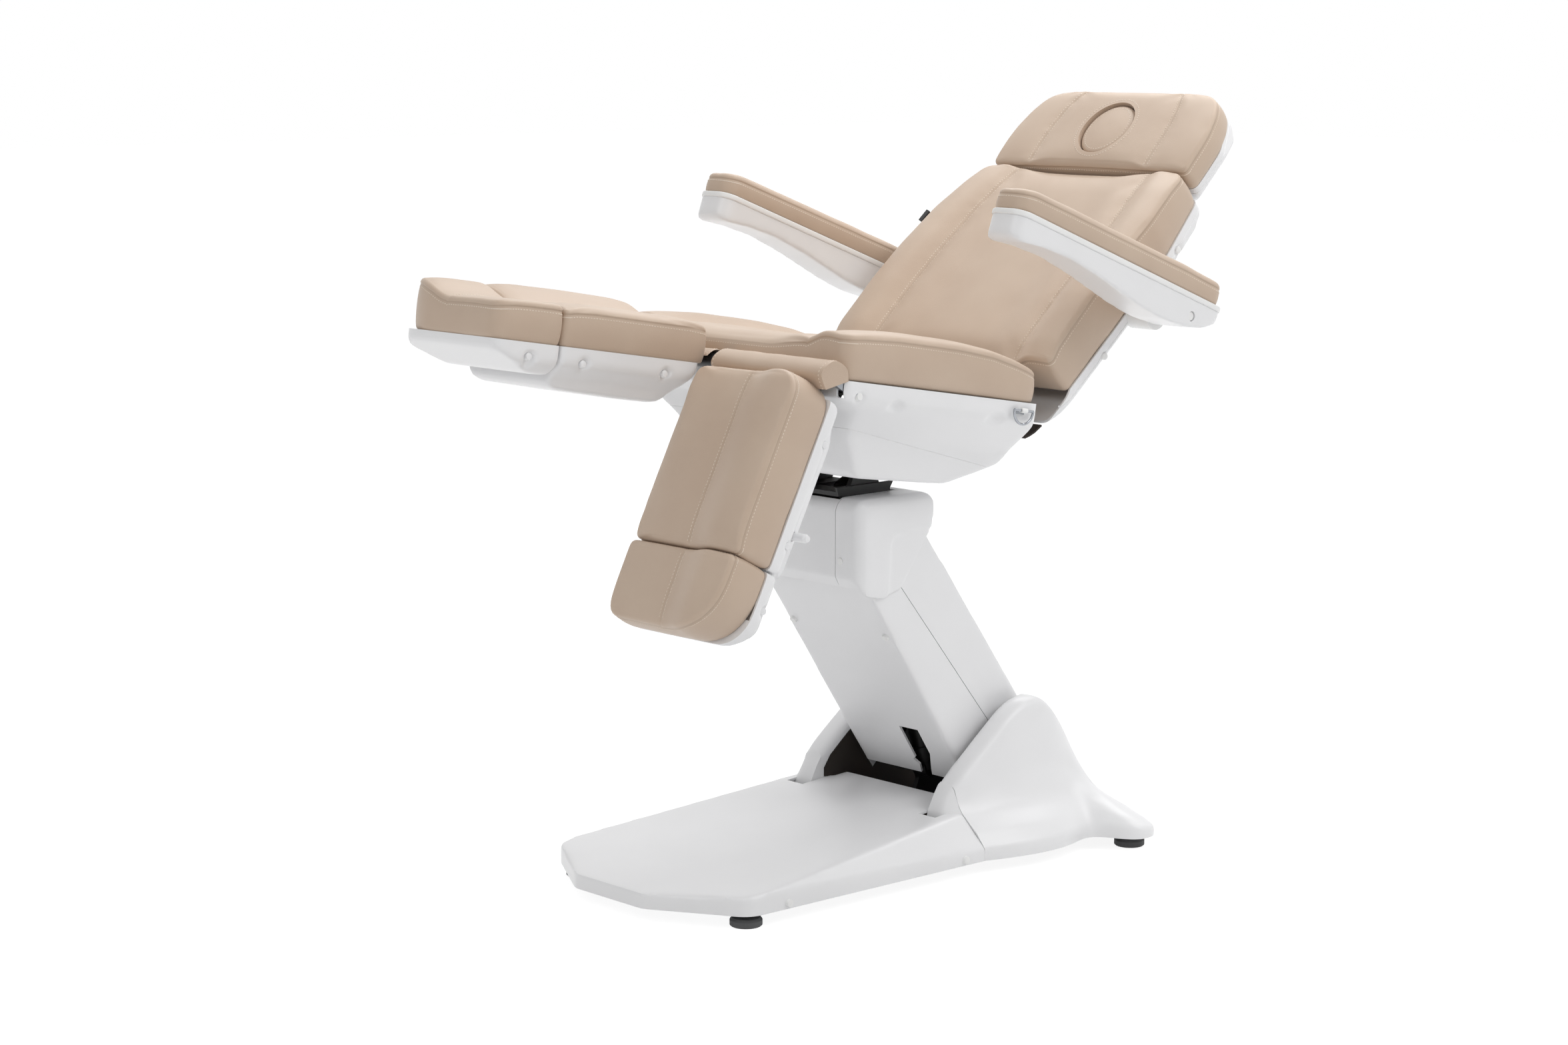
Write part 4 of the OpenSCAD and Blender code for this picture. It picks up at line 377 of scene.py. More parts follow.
def placed(obj, name, matrix, body, nodes, slot, material, angle):
    """Takes a finished piece to its place, names it, shades it and lets it ride."""
    rigid = matrix.copy()
    rigid.translation = rigid.translation * MM
    obj.data.transform(rigid)
    obj.name = obj.data.name = name
    if matrix.determinant() < 0:
        obj.data.flip_normals()
    obj.data.materials.clear()
    obj.data.materials.append(material)
    only(obj)
    bpy.ops.object.shade_smooth_by_angle(angle=math.radians(angle))
    if body:
        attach(obj, body)
    if nodes:
        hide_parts(*nodes)


# Padded leather
def between(points, x):
    """Straight-line reading of a list of (x, value) pairs."""
    for (x0, v0), (x1, v1) in zip(points, points[1:]):
        if x <= x1:
            return v0 + (v1 - v0) * max(0.0, (x - x0)) / (x1 - x0)
    return points[-1][1]


def eased(a, b, t):
    """A soft step from a to b."""
    t = min(1.0, max(0.0, t))
    return a + (b - a) * t * t * (3 - 2 * t)


def stations(start, end, corner_start, corner_end, step):
    """Rows along a cushion, closer together where the corners turn."""
    first = [start + corner_start * (1 - math.cos(math.pi / 2 * k / 5)) for k in range(5)]
    last = [end - corner_end * (1 - math.cos(math.pi / 2 * k / 5)) for k in range(4, -1, -1)]
    a, b = start + corner_start, end - corner_end
    count = max(2, round((b - a) / step))
    return first + [a + (b - a) * k / count for k in range(count + 1)] + last


def rounded_in(x, start, end, r_start, r_end):
    """How far a rounded corner draws the edge in at a place along the cushion."""
    if x < start + r_start:
        return r_start - math.sqrt(max(0.0, r_start ** 2 - (start + r_start - x) ** 2))
    if x > end - r_end:
        return r_end - math.sqrt(max(0.0, r_end ** 2 - (x - end + r_end) ** 2))
    return 0.0


def inset_outline(start, end, low, high, corners, shoulder, step=13.0):
    """Rows and edges of an outline drawn in by the shoulder.

    Corners are start low, start high, end low, end high.
    """
    a, b = start + shoulder, end - shoulder
    near_low, near_high, far_low, far_high = [max(2.0, r - shoulder) for r in corners]
    xs = stations(a, b, max(near_low, near_high), max(far_low, far_high), step)
    return (xs, lambda x: low(x) + shoulder + rounded_in(x, a, b, near_low, far_low),
            lambda x: high(x) - shoulder - rounded_in(x, a, b, near_high, far_high))


SEAM_PRESS, SEAM_GAP = 1.6, 2.4
# Strength of the painted shade in the seam grooves and at the top edge seam
SEAM_SHADE, EDGE_SHADE = 0.25, 0.5
CLOTH_FRAMES = 20
PITCH, ASIDE, BELOW = 6.0, 4.6, 5.0
STITCH_LENGTH, STITCH_WIDTH, STITCH_HEIGHT = 4.2, 1.5, 0.95


class Pad:
    """A cushion skin: a top laid in rows and columns, a rolled shoulder and a sewn side panel."""

    def __init__(self, xs, low, high, seams, height, base, shoulder=8.0, seam_drop=2.0, step=13.0,
                 bulge=2.5):
        self.base, self.shoulder, self.seams = base, shoulder, seams
        self.height, self.xs, self.seam_drop, self.bulge = height, xs, seam_drop, bulge
        lanes = [low] + list(seams) + [high]
        sewn = [False] + [True] * len(seams) + [False]
        middle = xs[len(xs) // 2]
        columns = []
        for k in range(len(lanes) - 1):
            gap = (SEAM_GAP if sewn[k] else 0.0, SEAM_GAP if sewn[k + 1] else 0.0)
            count = max(2, round((lanes[k + 1](middle) - lanes[k](middle)) / step))
            if sewn[k]:
                columns.append((lanes[k], None, 0.0, gap))
            columns += [(lanes[k], lanes[k + 1], c / count, gap) for c in range(count + 1)]
        self.verts, self.faces, self.crease, self.fixed = [], [], {}, set()
        for x in xs:
            for a, b, t, gap in columns:
                y = a(x) if b is None else (a(x) + gap[0]) * (1 - t) + (b(x) - gap[1]) * t
                if b is None:
                    self.crease[len(self.verts)] = SEAM_SHADE
                    self.fixed.add(len(self.verts))
                self.verts.append(Vector((x, y, base + height(x, y) - (SEAM_PRESS if b is None
                        else 0.0))))
        wide, rows = len(columns), len(xs)
        self.faces += [(r * wide + c, (r + 1) * wide + c, (r + 1) * wide + c + 1, r * wide + c + 1)
                       for r in range(rows - 1) for c in range(wide - 1)]
        ids = self.skirt(list(range(wide)) + [r * wide + wide - 1 for r in range(1, rows)]
                         + [(rows - 1) * wide + c for c in range(wide - 2, -1, -1)]
                         + [r * wide for r in range(rows - 2, 0, -1)])
        n, far = len(ids), wide + rows - 3
        under = [ids[:wide + 1] + [ids[n - 1]], ids[far:far + wide + 2]]
        under += [[ids[n - r], ids[wide - 1 + r], ids[wide + r], ids[n - r - 1]]
                  for r in range(1, rows - 2)]
        self.faces += [tuple(reversed(face)) for face in under]

    def skirt(self, rim):
        """Rolls the edge over the shoulder and down the side panel, and closes the underside."""
        verts, s = self.verts, self.shoulder
        self.rim_path = [verts[i].copy() for i in rim]
        n = len(rim)
        self.out = []
        for k in range(n):
            run = self.rim_path[(k + 1) % n] - self.rim_path[k - 1]
            self.out.append(Vector((run.y, -run.x, 0)).normalized())
        centre = sum(self.rim_path, Vector()) / n
        if sum(o.dot(p - centre) for o, p in zip(self.out, self.rim_path)) < 0:
            self.out = [-o for o in self.out]
        top = s + self.seam_drop
        rings = [(s * math.sin(a), s * (1 - math.cos(a)), 0) for a in (0.35, 0.75, 1.15, 1.5)]
        rings += [(s, top - 1.6, 0), (s - 1.6, top, 1), (s, top + 1.6, 0)]
        last = list(rim)
        for reach, drop, sewn in rings:
            ring = [p + o * reach - Vector((0, 0, drop)) for p, o in zip(self.rim_path, self.out)]
            last = self.band(last, ring, sewn, sewn)
        for share, swell in ((0.3, 1.0), (0.6, 0.9), (0.85, 0.3), (1.0, -0.6)):
            ring = [Vector((p.x, p.y, (p.z - top - 1.6) * (1 - share) + self.base * share))
                    + o * (s + self.bulge * swell) for p, o in zip(self.rim_path, self.out)]
            last = self.band(last, ring, False, share == 1.0)
        last = self.band(last, [Vector((p.x, p.y, self.base)) + o * (s - 12)
                                for p, o in zip(self.rim_path, self.out)], False, True)
        return last

    def band(self, last, ring, crease, fixed):
        """One more ring of corners, joined to the last."""
        first, n = len(self.verts), len(ring)
        self.verts += ring
        ids = list(range(first, first + n))
        if crease:
            self.crease.update((i, EDGE_SHADE) for i in ids)
        if fixed:
            self.fixed.update(ids)
        self.faces += [(last[k], last[(k + 1) % n], ids[(k + 1) % n], ids[k]) for k in range(n)]
        return ids

    def made(self, grow):
        """The skin blown up by cloth pressure between its seams, then smoothed once."""
        obj = skinned([v * MM for v in self.verts], self.faces)
        start = np.array([tuple(v.co) for v in obj.data.vertices])
        shift = self.blown(obj) - start
        size = np.linalg.norm(shift, axis=1, keepdims=True)
        cap = grow * MM
        soft = cap * np.tanh(size / cap) / np.maximum(size, 1e-9)
        start = start + shift * soft
        mesh = obj.data
        mesh.vertices.foreach_set("co", start.ravel())
        crease = mesh.attributes.new("crease", "FLOAT", "POINT")
        for i, dark in self.crease.items():
            crease.data[i].value = dark
        mesh.update()
        applied(obj, "SUBSURF", levels=1, render_levels=1)
        return obj

    def blown(self, obj):
        """Where cloth pressure takes each corner, with the seams held."""
        scene = bpy.context.scene
        only(obj)
        group = obj.vertex_groups.new(name="sewn")
        group.add(sorted(self.fixed), 1.0, "REPLACE")
        cloth = obj.modifiers.new("Cloth", "CLOTH")
        cloth.settings.quality = 4
        cloth.settings.mass = 0.3
        cloth.settings.tension_stiffness = cloth.settings.compression_stiffness = 12
        cloth.settings.bending_stiffness = 2.0
        cloth.settings.use_pressure = True
        cloth.settings.uniform_pressure_force = 4.0
        cloth.settings.effector_weights.gravity = 0.0
        cloth.settings.vertex_group_mass = "sewn"
        cloth.collision_settings.use_self_collision = False
        cloth.point_cache.frame_start, cloth.point_cache.frame_end = 1, CLOTH_FRAMES
        for frame_no in range(1, CLOTH_FRAMES + 1):
            scene.frame_set(frame_no)
        graph = bpy.context.evaluated_depsgraph_get()
        seen = obj.evaluated_get(graph).to_mesh()
        out = np.array([tuple(v.co) for v in seen.vertices])
        obj.evaluated_get(graph).to_mesh_clear()
        obj.modifiers.remove(cloth)
        obj.vertex_groups.remove(group)
        scene.frame_set(1)
        return out


def pucker(obj, marks, size=0.7, near=14.0, seed=1.0):
    """Small gathers beside the seams and a faint unevenness everywhere."""
    mesh = obj.data
    count = len(mesh.vertices)
    co = np.empty(count * 3)
    mesh.vertices.foreach_get("co", co)
    co = co.reshape(-1, 3) / MM
    normals = np.array([tuple(v.normal) for v in mesh.vertices])
    gap = np.full(count, 1e9)
    for mark in marks:
        gap = np.minimum(gap, np.sum((co - np.array(tuple(mark))) ** 2, axis=1))
    gap = np.sqrt(gap)
    shift = np.zeros(count)
    for i, p in enumerate(co):
        shift[i] = noise.noise(Vector(p) * 0.018 + Vector((seed, 0, 0))) * size
        if gap[i] < near * 2.5:
            shift[i] += noise.noise(Vector(p) * 0.07 + Vector((0, seed,
                    0))) * size * 1.6 * math.exp(-gap[i] / near)
    co = (co + normals * shift[:, None]) * MM
    mesh.vertices.foreach_set("co", co.ravel())
    mesh.update()


def surface_of(obj):
    """The finished skin, to find where a stitch meets it."""
    obj.data.update()
    return BVHTree.FromPolygons([v.co / MM for v in obj.data.vertices], [tuple(p.vertices)
            for p in obj.data.polygons])


def along(path, closed=False):
    """Points at an even pitch along a path, with the direction at each."""
    pts = [Vector(p) for p in path] + ([Vector(path[0])] if closed else [])
    out, carry = [], PITCH / 2
    for a, b in zip(pts, pts[1:]):
        length = (b - a).length
        if length < 1e-6:
            continue
        while carry <= length:
            out.append((a + (b - a) * carry / length, (b - a).normalized()))
            carry += PITCH
        carry -= length
    return out


def stitches(tree, path, aside=(0.0,), closed=False):
    """Stitches along a path, each with its spot on the skin, the thread's run and the normal."""
    out, down, reach = [], Vector((0, 0, -1)), 60.0
    for spot, run in along(path, closed):
        side = run.cross(down).normalized()
        for gap in aside:
            hit, normal, _, _ = tree.ray_cast(spot + side * gap - down * reach, down, reach * 2)
            if hit:
                out.append((hit, run, normal))
    return out


def thread_mesh(spots):
    """All stitches of one cushion in one mesh: short rounded pills sunk at both ends."""
    verts, faces = [], []
    shape = [(-0.5, -0.6), (-0.3, 0.55), (0.3, 0.55), (0.5, -0.6)]
    for hit, run, normal in spots:
        run = (run - normal * run.dot(normal)).normalized()
        side = normal.cross(run)
        base = len(verts)
        for x, z in shape:
            for y, lift in ((-0.5, 0.35), (0.0, 1.0), (0.5, 0.35)):
                up = z if z < 0 else z * lift + 0.1
                verts.append((hit + run * x * STITCH_LENGTH + side * y * STITCH_WIDTH
                              + normal * up * STITCH_HEIGHT) * MM)
        for s in range(3):
            for c in range(2):
                a = base + s * 3 + c
                faces.append((a, a + 1, a + 4, a + 3))
        ends = ((0, 3, 6, 9), (2, 11, 8, 5), (0, 2, 1), (9, 10, 11), (0, 9, 11, 2))
        faces += [tuple(base + k for k in end) for end in ends]
    return skinned(verts, faces)


def seam_path(pad, seam):
    """A seam as it lies on the top."""
    return [Vector((x, seam(x), pad.base + pad.height(x, seam(x)))) for x in pad.xs]


def panel_stitches(tree, pad):
    """A stitch row on the side panel, just under the top edge seam."""
    drop = pad.shoulder + pad.seam_drop + BELOW
    ring = [p + o * (pad.shoulder + 30) - Vector((0, 0, drop)) for p, o in zip(pad.rim_path, pad.out)]
    out, carry, n = [], PITCH / 2, len(ring)
    for k in range(n):
        a, b = ring[k], ring[(k + 1) % n]
        length = (b - a).length
        while carry <= length:
            t = carry / length
            way = -(pad.out[k] * (1 - t) + pad.out[(k + 1) % n] * t).normalized()
            hit, normal, _, _ = tree.ray_cast(a + (b - a) * t, way, 60)
            if hit:
                out.append((hit, (b - a).normalized(), normal))
            carry += PITCH
        carry -= length
    return out


def upholstered(name, pad, matrix, body, nodes, grow, fill, seed, more=None, cut=None):
    """Blows up, gathers and sews one cushion, then puts it and its thread in place."""
    obj = pad.made(grow)
    pucker(obj, [q for seam in pad.seams for q in seam_path(pad, seam)], seed=seed)
    if cut:
        joined(obj, [cut()], "DIFFERENCE")
    tree = surface_of(obj)
    spots = panel_stitches(tree, pad)
    for seam in pad.seams:
        spots += stitches(tree, seam_path(pad, seam)[1:-1], (-ASIDE, ASIDE))
    if more:
        spots += more(tree)
    thread = thread_mesh(spots)
    placed(obj, name, matrix, body, nodes, *COVERED)
    placed(thread, name + "_stitching", matrix, body, (), *SEWN)


def keyed(points, t):
    """A profile read with soft turns at its keys."""
    for (t0, v0), (t1, v1) in zip(points, points[1:]):
        if t <= t1:
            return eased(v0, v1, (t - t0) / (t1 - t0))
    return points[-1][1]


# The cushions
def bolstered(edge, seam, bolster, middle):
    """Height of a cushion with a raised bolster outside each seam and a lower, crowned middle."""
    def height(x, y):
        half, at = edge(x), seam(x)
        b, m = bolster(x), middle(x)
        join = b * 0.4 + m * 0.6
        t = (half - abs(y)) / (half - at)
        if t < 1:
            return b * (0.97 + 0.03 * math.sin(math.pi * min(1.0, max(0.0, t) / 0.75))) if t < 0.5 \
                else eased(b * 0.994, join, (t - 0.5) / 0.5)
        return eased(join, m, (at - abs(y)) / (at * 0.55))
    return height


def bolstered_cushion(name, place, body, node, span, edge, seam_share, bolster, middle, corners,
                      base, shoulder, grow, fill, seed, **extra):
    """A cushion with two lengthwise seams; bolster and middle are a height and its run of shares."""
    start, end = span
    share = lambda x: (x - start) / (end - start)
    seam = lambda x: edge(x) * seam_share(share(x))
    xs, low, high = inset_outline(start, end, lambda x: -edge(x), edge, corners, shoulder)
    height = bolstered(high, seam, lambda x: bolster[0] * between(bolster[1], share(x)),
                       lambda x: middle[0] * between(middle[1], share(x)))
    pad = Pad(xs, low, high, [lambda x: -seam(x), seam], height, base, shoulder)
    upholstered(name, pad, place, body, [node], grow, fill, seed, **extra)


def seat_cushion():
    bolstered_cushion(
        "Seat_cushion_leather", SEAT, "seat", "seat_cushion", (-280.0, SEAT_REAR),
        lambda x: SEAT_HALF - 5, lambda t: 0.655 - 0.02 * t,
        (88, [(0, .9), (.08, .95), (.25, 1), (.55, 1), (.72, .95), (.86, .82), (1, .62)]),
        (62, [(0, .92), (.08, .98), (.25, 1), (.75, 1), (.88, .97), (1, .84)]),
        (22, 22, 44, 44), BOARD - 1.5, 9, 8, 0.75, 3.0)


def back_edge(p):
    """Half the width of the back, at a place along it."""
    if p < 218:
        return BACK_HALF
    if p < 394:
        return BACK_HALF - 6 * (p - 218) / 176
    return BACK_HALF - 6 - (BACK_HALF - 6 - BACK_TOP_HALF) * (p - 394) / (BACK_LEN - 394)


def back_cushion():
    bolstered_cushion(
        "Back_cushion_leather", BACK, "back", "back_cushion", (39.0, BACK_LEN),
        lambda x: back_edge(x) - 1, lambda t: 0.66,
        (96, [(0, .84), (.07, .94), (.3, 1.01), (.5, 1), (.7, .93), (.88, .84), (1, .72)]),
        (62, [(0, .8), (.07, .98), (.3, 1.02), (.88, 1), (1, .9)]),
        (11, 11, 26, 26), -5.5, 8, 8, 0.75, 11.0)


def oval(extra, steps=64):
    """The breathing hole's outline, made larger or smaller."""
    return [(98 + (64 + extra) * x, (56 + extra) * y) for x, y in circle(1, steps)]


def head_cushion():
    start, end = 6.0, 202.0
    taper = [(0, .995), (.3, 1), (.5, .99), (.7, .95), (.88, .88), (1, .81)]
    rise = [(0, .93), (.1, .98), (.3, 1.0), (.72, 1.0), (.9, .97), (1, .9)]
    ring = [Vector((x, y, 60)) for x, y in oval(9.0)]
    bolstered_cushion(
        "Head_cushion_leather", HEAD, "head", "head_cushion", (start, end),
        lambda x: HEAD_HALF * between(taper, (x - start) / (end - start)), lambda t: 0.6,
        (58 * 0.96, rise), (58, rise), (12, 12, 36, 36), 22.5, 7, 5, 0.8, 17.0,
        more=lambda tree: stitches(tree, ring, closed=True),
        cut=lambda: prism(oval(0.8), "z", 0, 120))


def face_plug():
    """Oval stopper of the breathing hole: a leather crown over a foam block."""
    pad = Pad.__new__(Pad)
    pad.base, pad.shoulder, pad.seam_drop, pad.bulge, pad.seams = -8, 9, 4, 0.0, []
    pad.verts, pad.faces, pad.crease, pad.fixed = [Vector((98, 0, 83.5))], [], {}, set()
    last = None
    for share in (0.25, 0.5, 0.75, 1.0):
        ring = [Vector((98 + (x - 98) * share, y * share, 79.5 + 4 * math.cos(share * 1.3)))
                for x, y in oval(-9.8, 48)]
        first = len(pad.verts)
        pad.verts += ring
        ids = list(range(first, first + 48))
        pad.faces += [(last[k], last[(k + 1) % 48], ids[(k + 1) % 48], ids[k])
                      for k in range(48)] if last else \
            [(0, ids[k], ids[(k + 1) % 48]) for k in range(48)]
        last = ids
    pad.faces.append(tuple(reversed(pad.skirt(last))))
    ring = [Vector((x, y, 70)) for x, y in oval(-11)]
    obj = pad.made(2.5)
    pucker(obj, [], seed=21.0, size=0.4)
    tree = surface_of(obj)
    thread = thread_mesh(stitches(tree, ring, closed=True))
    placed(obj, "Face_plug_leather", HEAD, "plug", ["face_plug"], *COVERED)
    placed(thread, "Face_plug_stitching", HEAD, "plug", (), *SEWN)


def split_cushions(part, body, span, ends, keys, corners, step, grow, fill, seed):
    """The same cushion on the left and the right half of the leg piece."""
    (start, end), low_y, high_y = span, SPLIT + 1, LEG_OUT - 1
    seam = lambda x: (low_y + high_y) / 2
    height = lambda x, y: (between(ends, (x - start) / (end - start))
                           * keyed(keys, (y - low_y) / (high_y - low_y)))
    for side in (-1, 1):
        xs, low, high = inset_outline(start, end, lambda x: low_y, lambda x: high_y, corners, 8, step)
        pad = Pad(xs, low, high, [seam], height, -9.5, 8)
        upholstered("%s_%s_cushion_leather" % (TITLE[side], part), pad, LEG[side], body + SIDE[side],
                    ["%s_%s_cushion" % (SIDE[side], part)], grow, fill, seed + side)


def leg_and_foot_cushions():
    split_cushions("leg", "leg_", (-341.0, -25.0),
                   [(0, .9), (.06, .97), (.2, 1), (.85, 1), (.95, .97), (1, .88)],
                   [(0, 68), (.25, 69), (.5, 68), (.8, 94), (1, 90)], (11, 9, 16, 46), 13.0, 7, 0.75,
                   23.0)
    split_cushions("foot", "footrest_", (-478.0, -344.0),
                   [(0, .88), (.12, .95), (.35, .99), (.9, 1), (1, .96)],
                   [(0, 68), (.25, 69), (.5, 68), (.8, 92), (1, 87)], (20, 84, 10, 12), 11.0, 6, 0.78,
                   31.0)


def arm_pads():
    start, end, half = -ARM_LEN + 1, 74.0, ARM_W / 2 - 1
    share = lambda x: (x - start) / (end - start)
    run = lambda x: between([(0, .84), (.05, .93), (.2, .95), (.8, 1), (.96, .96), (1, .86)], share(x))
    height = lambda x, y: 43 * run(x) * (0.97 + 0.03 * math.cos(y / half * math.pi / 2))
    for side in (-1, 1):
        xs, low, high = inset_outline(start, end, lambda x: -half, lambda x: half, (27, 27, 27, 27), 9,
                12.0)
        pad = Pad(xs, low, high, [], height, 38, 9, step=11.0, bulge=1.2)
        upholstered(TITLE[side] + "_armrest_pad_leather", pad, ARM[side], "armrest_" + SIDE[side],
                    [SIDE[side] + "_armrest_pad"], 4, 0.85, 41.0 + side)


# Moulded covers
def mirrored(points):
    """An open outline followed by its own mirror image."""
    return list(points) + [(-a, b) for a, b in reversed(points)]


def merged(tools):
    """Several cutters as one object."""
    only(tools[0])
    for tool in tools[1:]:
        tool.select_set(True)
    if len(tools) > 1:
        bpy.ops.object.join()
    return bpy.context.object


def cored(base, *tools):
    """One piece with others cut out of it."""
    return joined(base, tools, "DIFFERENCE")


def scored(obj, at, normal):
    """A fine moulded line round a cover, where a plane meets it."""
    n, depth, width = Vector(normal).normalized(), 0.9, 1.6
    for shift in (-width / 2, 0, width / 2):
        only(obj)
        bpy.ops.object.mode_set(mode="EDIT")
        bpy.ops.mesh.select_all(action="SELECT")
        p = (Vector(at) + n * shift) * MM
        bpy.ops.mesh.bisect(plane_co=p, plane_no=n)
        bpy.ops.object.mode_set(mode="OBJECT")
    middle = Vector(at) * MM
    near = [v for v in obj.data.vertices if abs((v.co - middle).dot(n)) < 0.05 * MM]
    moves = [(v, (v.normal - n * v.normal.dot(n)).normalized() * depth * MM) for v in near]
    for v, step in moves:
        v.co -= step
    obj.data.update()


def mould(solids, voxel, rounds, cuts=(), lines=(), wall=WALL, cores=(), extra=(), pockets=()):
    """Outlines crossed, softened, cut off crisp at the seams, given their wall, and cored."""
    body = joined(solids[0], solids[1:], "INTERSECT")
    softened(body, voxel, rounds)
    if pockets:
        joined(body, pockets, "DIFFERENCE")
        softened(body, voxel, 2)
    for at, normal in cuts:
        cut_at(body, at, normal)
    for at, normal in lines:
        scored(body, at, normal)
    walled(body, wall)
    cored(body, *cores)
    if extra:
        body = merged([body] + list(extra))
    return body


def cap(at, normal, radius=7.0, height=5.5):
    """A round screw cap with a crowned, rolled top."""
    sides = 24
    turn = Vector(normal).to_track_quat("Z", "Y").to_matrix().to_4x4()
    place = Matrix.Translation(Vector(at) * MM) @ turn
    rings = [(radius, -4), (radius, height * 0.55), (radius * 0.9, height * 0.9),
             (radius * 0.6, height)]
    verts = [Vector((x, y, z)) * MM for r, z in rings for x, y in circle(r, sides)]
    verts.append(Vector((0, 0, height * 1.06)) * MM)
    pairs = [(k, (k + 1) % sides) for k in range(sides)]
    faces = [(low + a, low + b, low + sides + b, low + sides + a)
             for low in range(0, sides * (len(rings) - 1), sides) for a, b in pairs]
    last = sides * (len(rings) - 1)
    faces += [(last + a, last + b, last + sides) for a, b in pairs]
    faces.append(tuple(reversed(range(sides))))
    return skinned([place @ v for v in verts], faces)


def seat_shell():
    b = BOARD
    side = rounded([(-283, b + 20), (-283, b - 30), (-232, b - 44), (-172, b - 122), (-146, b - 162),
                    (76, b - 157),
                    (148, b - 131), (205, b - 108), (205, b + 20)], [0, 8, 14, 24, 30, 60, 60, 30, 0])
    across = rounded(mirrored([(285, b + 20), (285, b - 25), (276, b - 38), (214, b - 94),
            (197, b - 162)]), [0, 8, 14, 34, 0, 0, 34, 14, 8, 0])
    plan = rounded([(-283, -285), (205, -285), (205, 285), (-283, 285)], [26, 30, 30, 26])
    cores = [box((-92, 98), (-88, 88), (-70, 71)), box((98.5, 136), (-24, 24), (-70, 26)),
             box((186, 215), (-92.4, 92.4), (48, 150)), box((-290, -267), (-7, 7), (113, 150)),
             *[box((-290, -267), on(s, 267, 277), (113, 150)) for s in (1, -1)],
             *[box((178, 215), on(s, 106, 254), (b - 46, 150)) for s in (1, -1)]]
    pockets = []
    for s in (-1, 1):
        pockets += [ball((-240, s * 292, b - 26), (16, 17, 13)),
                    ball((-238, s * 288, b - 52), (15, 20, 24)),
                    ball((-150, s * 290, b - 38), (26, 20, 17)),
                    ball((94, s * 290, b - 38), (32, 20, 17)),
                    ball((150, s * 292, b - 24), (30, 15, 17))]
    shell = mould([prism(side, "y", -285, 285), prism(across, "x", -300, 215),
                   prism(plan, "z", -40, b + 30)],
                  4.5, 12, [((0, 0, b), (0, 0, 1))], [((0, 0, b - 101), (0.11, 0, 1))],
                  cores=cores, pockets=pockets)
    placed(shell, "Seat_shell_moulding", SEAT, "seat", ["seat_shell"], *MOULDED)
    bits = [cap((-240, s * 277, b - 24), (0, s, 0.2)) for s in (-1, 1)]
    for s in (-1, 1):
        bits.append(prism([(s * 279, 126), (s * 292, 126), (s * 292, 130), (s * 279, 130)], "x", 141,
                          155))
        bits.append(rod("x", 4.4, 141, 155, (s * 292, 128), 16))
    placed(merged(bits), "Seat_shell_caps", SEAT, "seat", (), *CAPPED)


def back_shell():
    plan = rounded([(-22, -248), (34, -276), (218, -276), (394, -270), (540, -246), (540, 246),
                    (394, 270), (218, 276),
                    (34, 276), (-22, 248)], [20, 30, 0, 300, 26, 26, 300, 0, 30, 20])
    side = rounded([(-42, -30), (10, -34), (70, -41), (480, -41), (560, -22), (560, 16), (48, 16),
                    (20, 10), (-42, 4)], [0, 40, 40, 60, 0, 0, 0, 0, 0])
    across = rounded(mirrored([(278, 20), (278, -24), (257, -36), (221, -42)]),
                     [0, 8, 20, 0, 0, 20, 8, 0])
    cores = [box((-60, 8), (-34, 34), (-90, 40))]
    cores += [box((-60, 40), on(s, 48, 100), (-30, 20)) for s in (1, -1)]
    cores += [box((500, 560), on(s, 60, 100), (-37, 10)) for s in (1, -1)]
    cores += [rod("y", 9.6, *on(s, 200, 300), (ARM_P, -18)) for s in (1, -1)]
    screws = [(s, p, y) for s in (-1, 1) for p, y in ((150, 283), (330, 279), (425, 270))]
    pockets = [ball((p, s * (y + 2), -24), (20, 15, 14)) for s, p, y in screws]
    shell = mould([prism(side, "y", -280, 280), prism(plan, "z", -60, 30),
                   prism(across, "x", -60, 570)],
                  4.5, 10, [((540, 0, 0), (1, 0, 0)), ((-22, 0, 0), (-1, 0, 0)),
                            ((0, 0, -4), (0, 0, 1)), ((48, 0, -4), (-0.39, 0, 0.92))],
                  [((0, 0, -19), (0, 0, 1))], cores=cores, pockets=pockets)
    placed(shell, "Back_shell_moulding", BACK, "back", ["back_shell"], *MOULDED)
    bits = [cap((p, s * (y - 12), -24), (0, s, 0), 6.5) for s, p, y in screws]
    for s in (-1, 1):
        lobe = cored(rod("y", 27, *on(s, 270, 322), (ARM_P, -22), 40),
                     rod("y", 9.4, *on(s, 260, 330), (ARM_P, -18)))
        bits.append(applied(lobe, "BEVEL", width=5 * MM, segments=4, limit_method="ANGLE",
                            angle_limit=math.radians(60)))
    placed(merged(bits), "Back_shell_caps", BACK, "back", (), *CAPPED)


def flange(points, radii, inset=16.0):
    """The flat rim that a cushion sits on, inside a tray's top edge."""
    (x0, y0), (x1, y1) = points[0], points[2]
    inner = [(x0 + inset, y0 + inset), (x0 + inset, y1 - inset), (x1 - inset, y1 - inset),
             (x1 - inset, y0 + inset)]
    plate = prism(rounded([(x0 + 2, y0 + 2), (x0 + 2, y1 - 2), (x1 - 2, y1 - 2), (x1 - 2, y0 + 2)],
                          radii, 8), "z", -11, -8.3)
    return cored(plate, prism(rounded(inner, [max(2, r - inset) for r in radii], 8), "z", -20, 0))


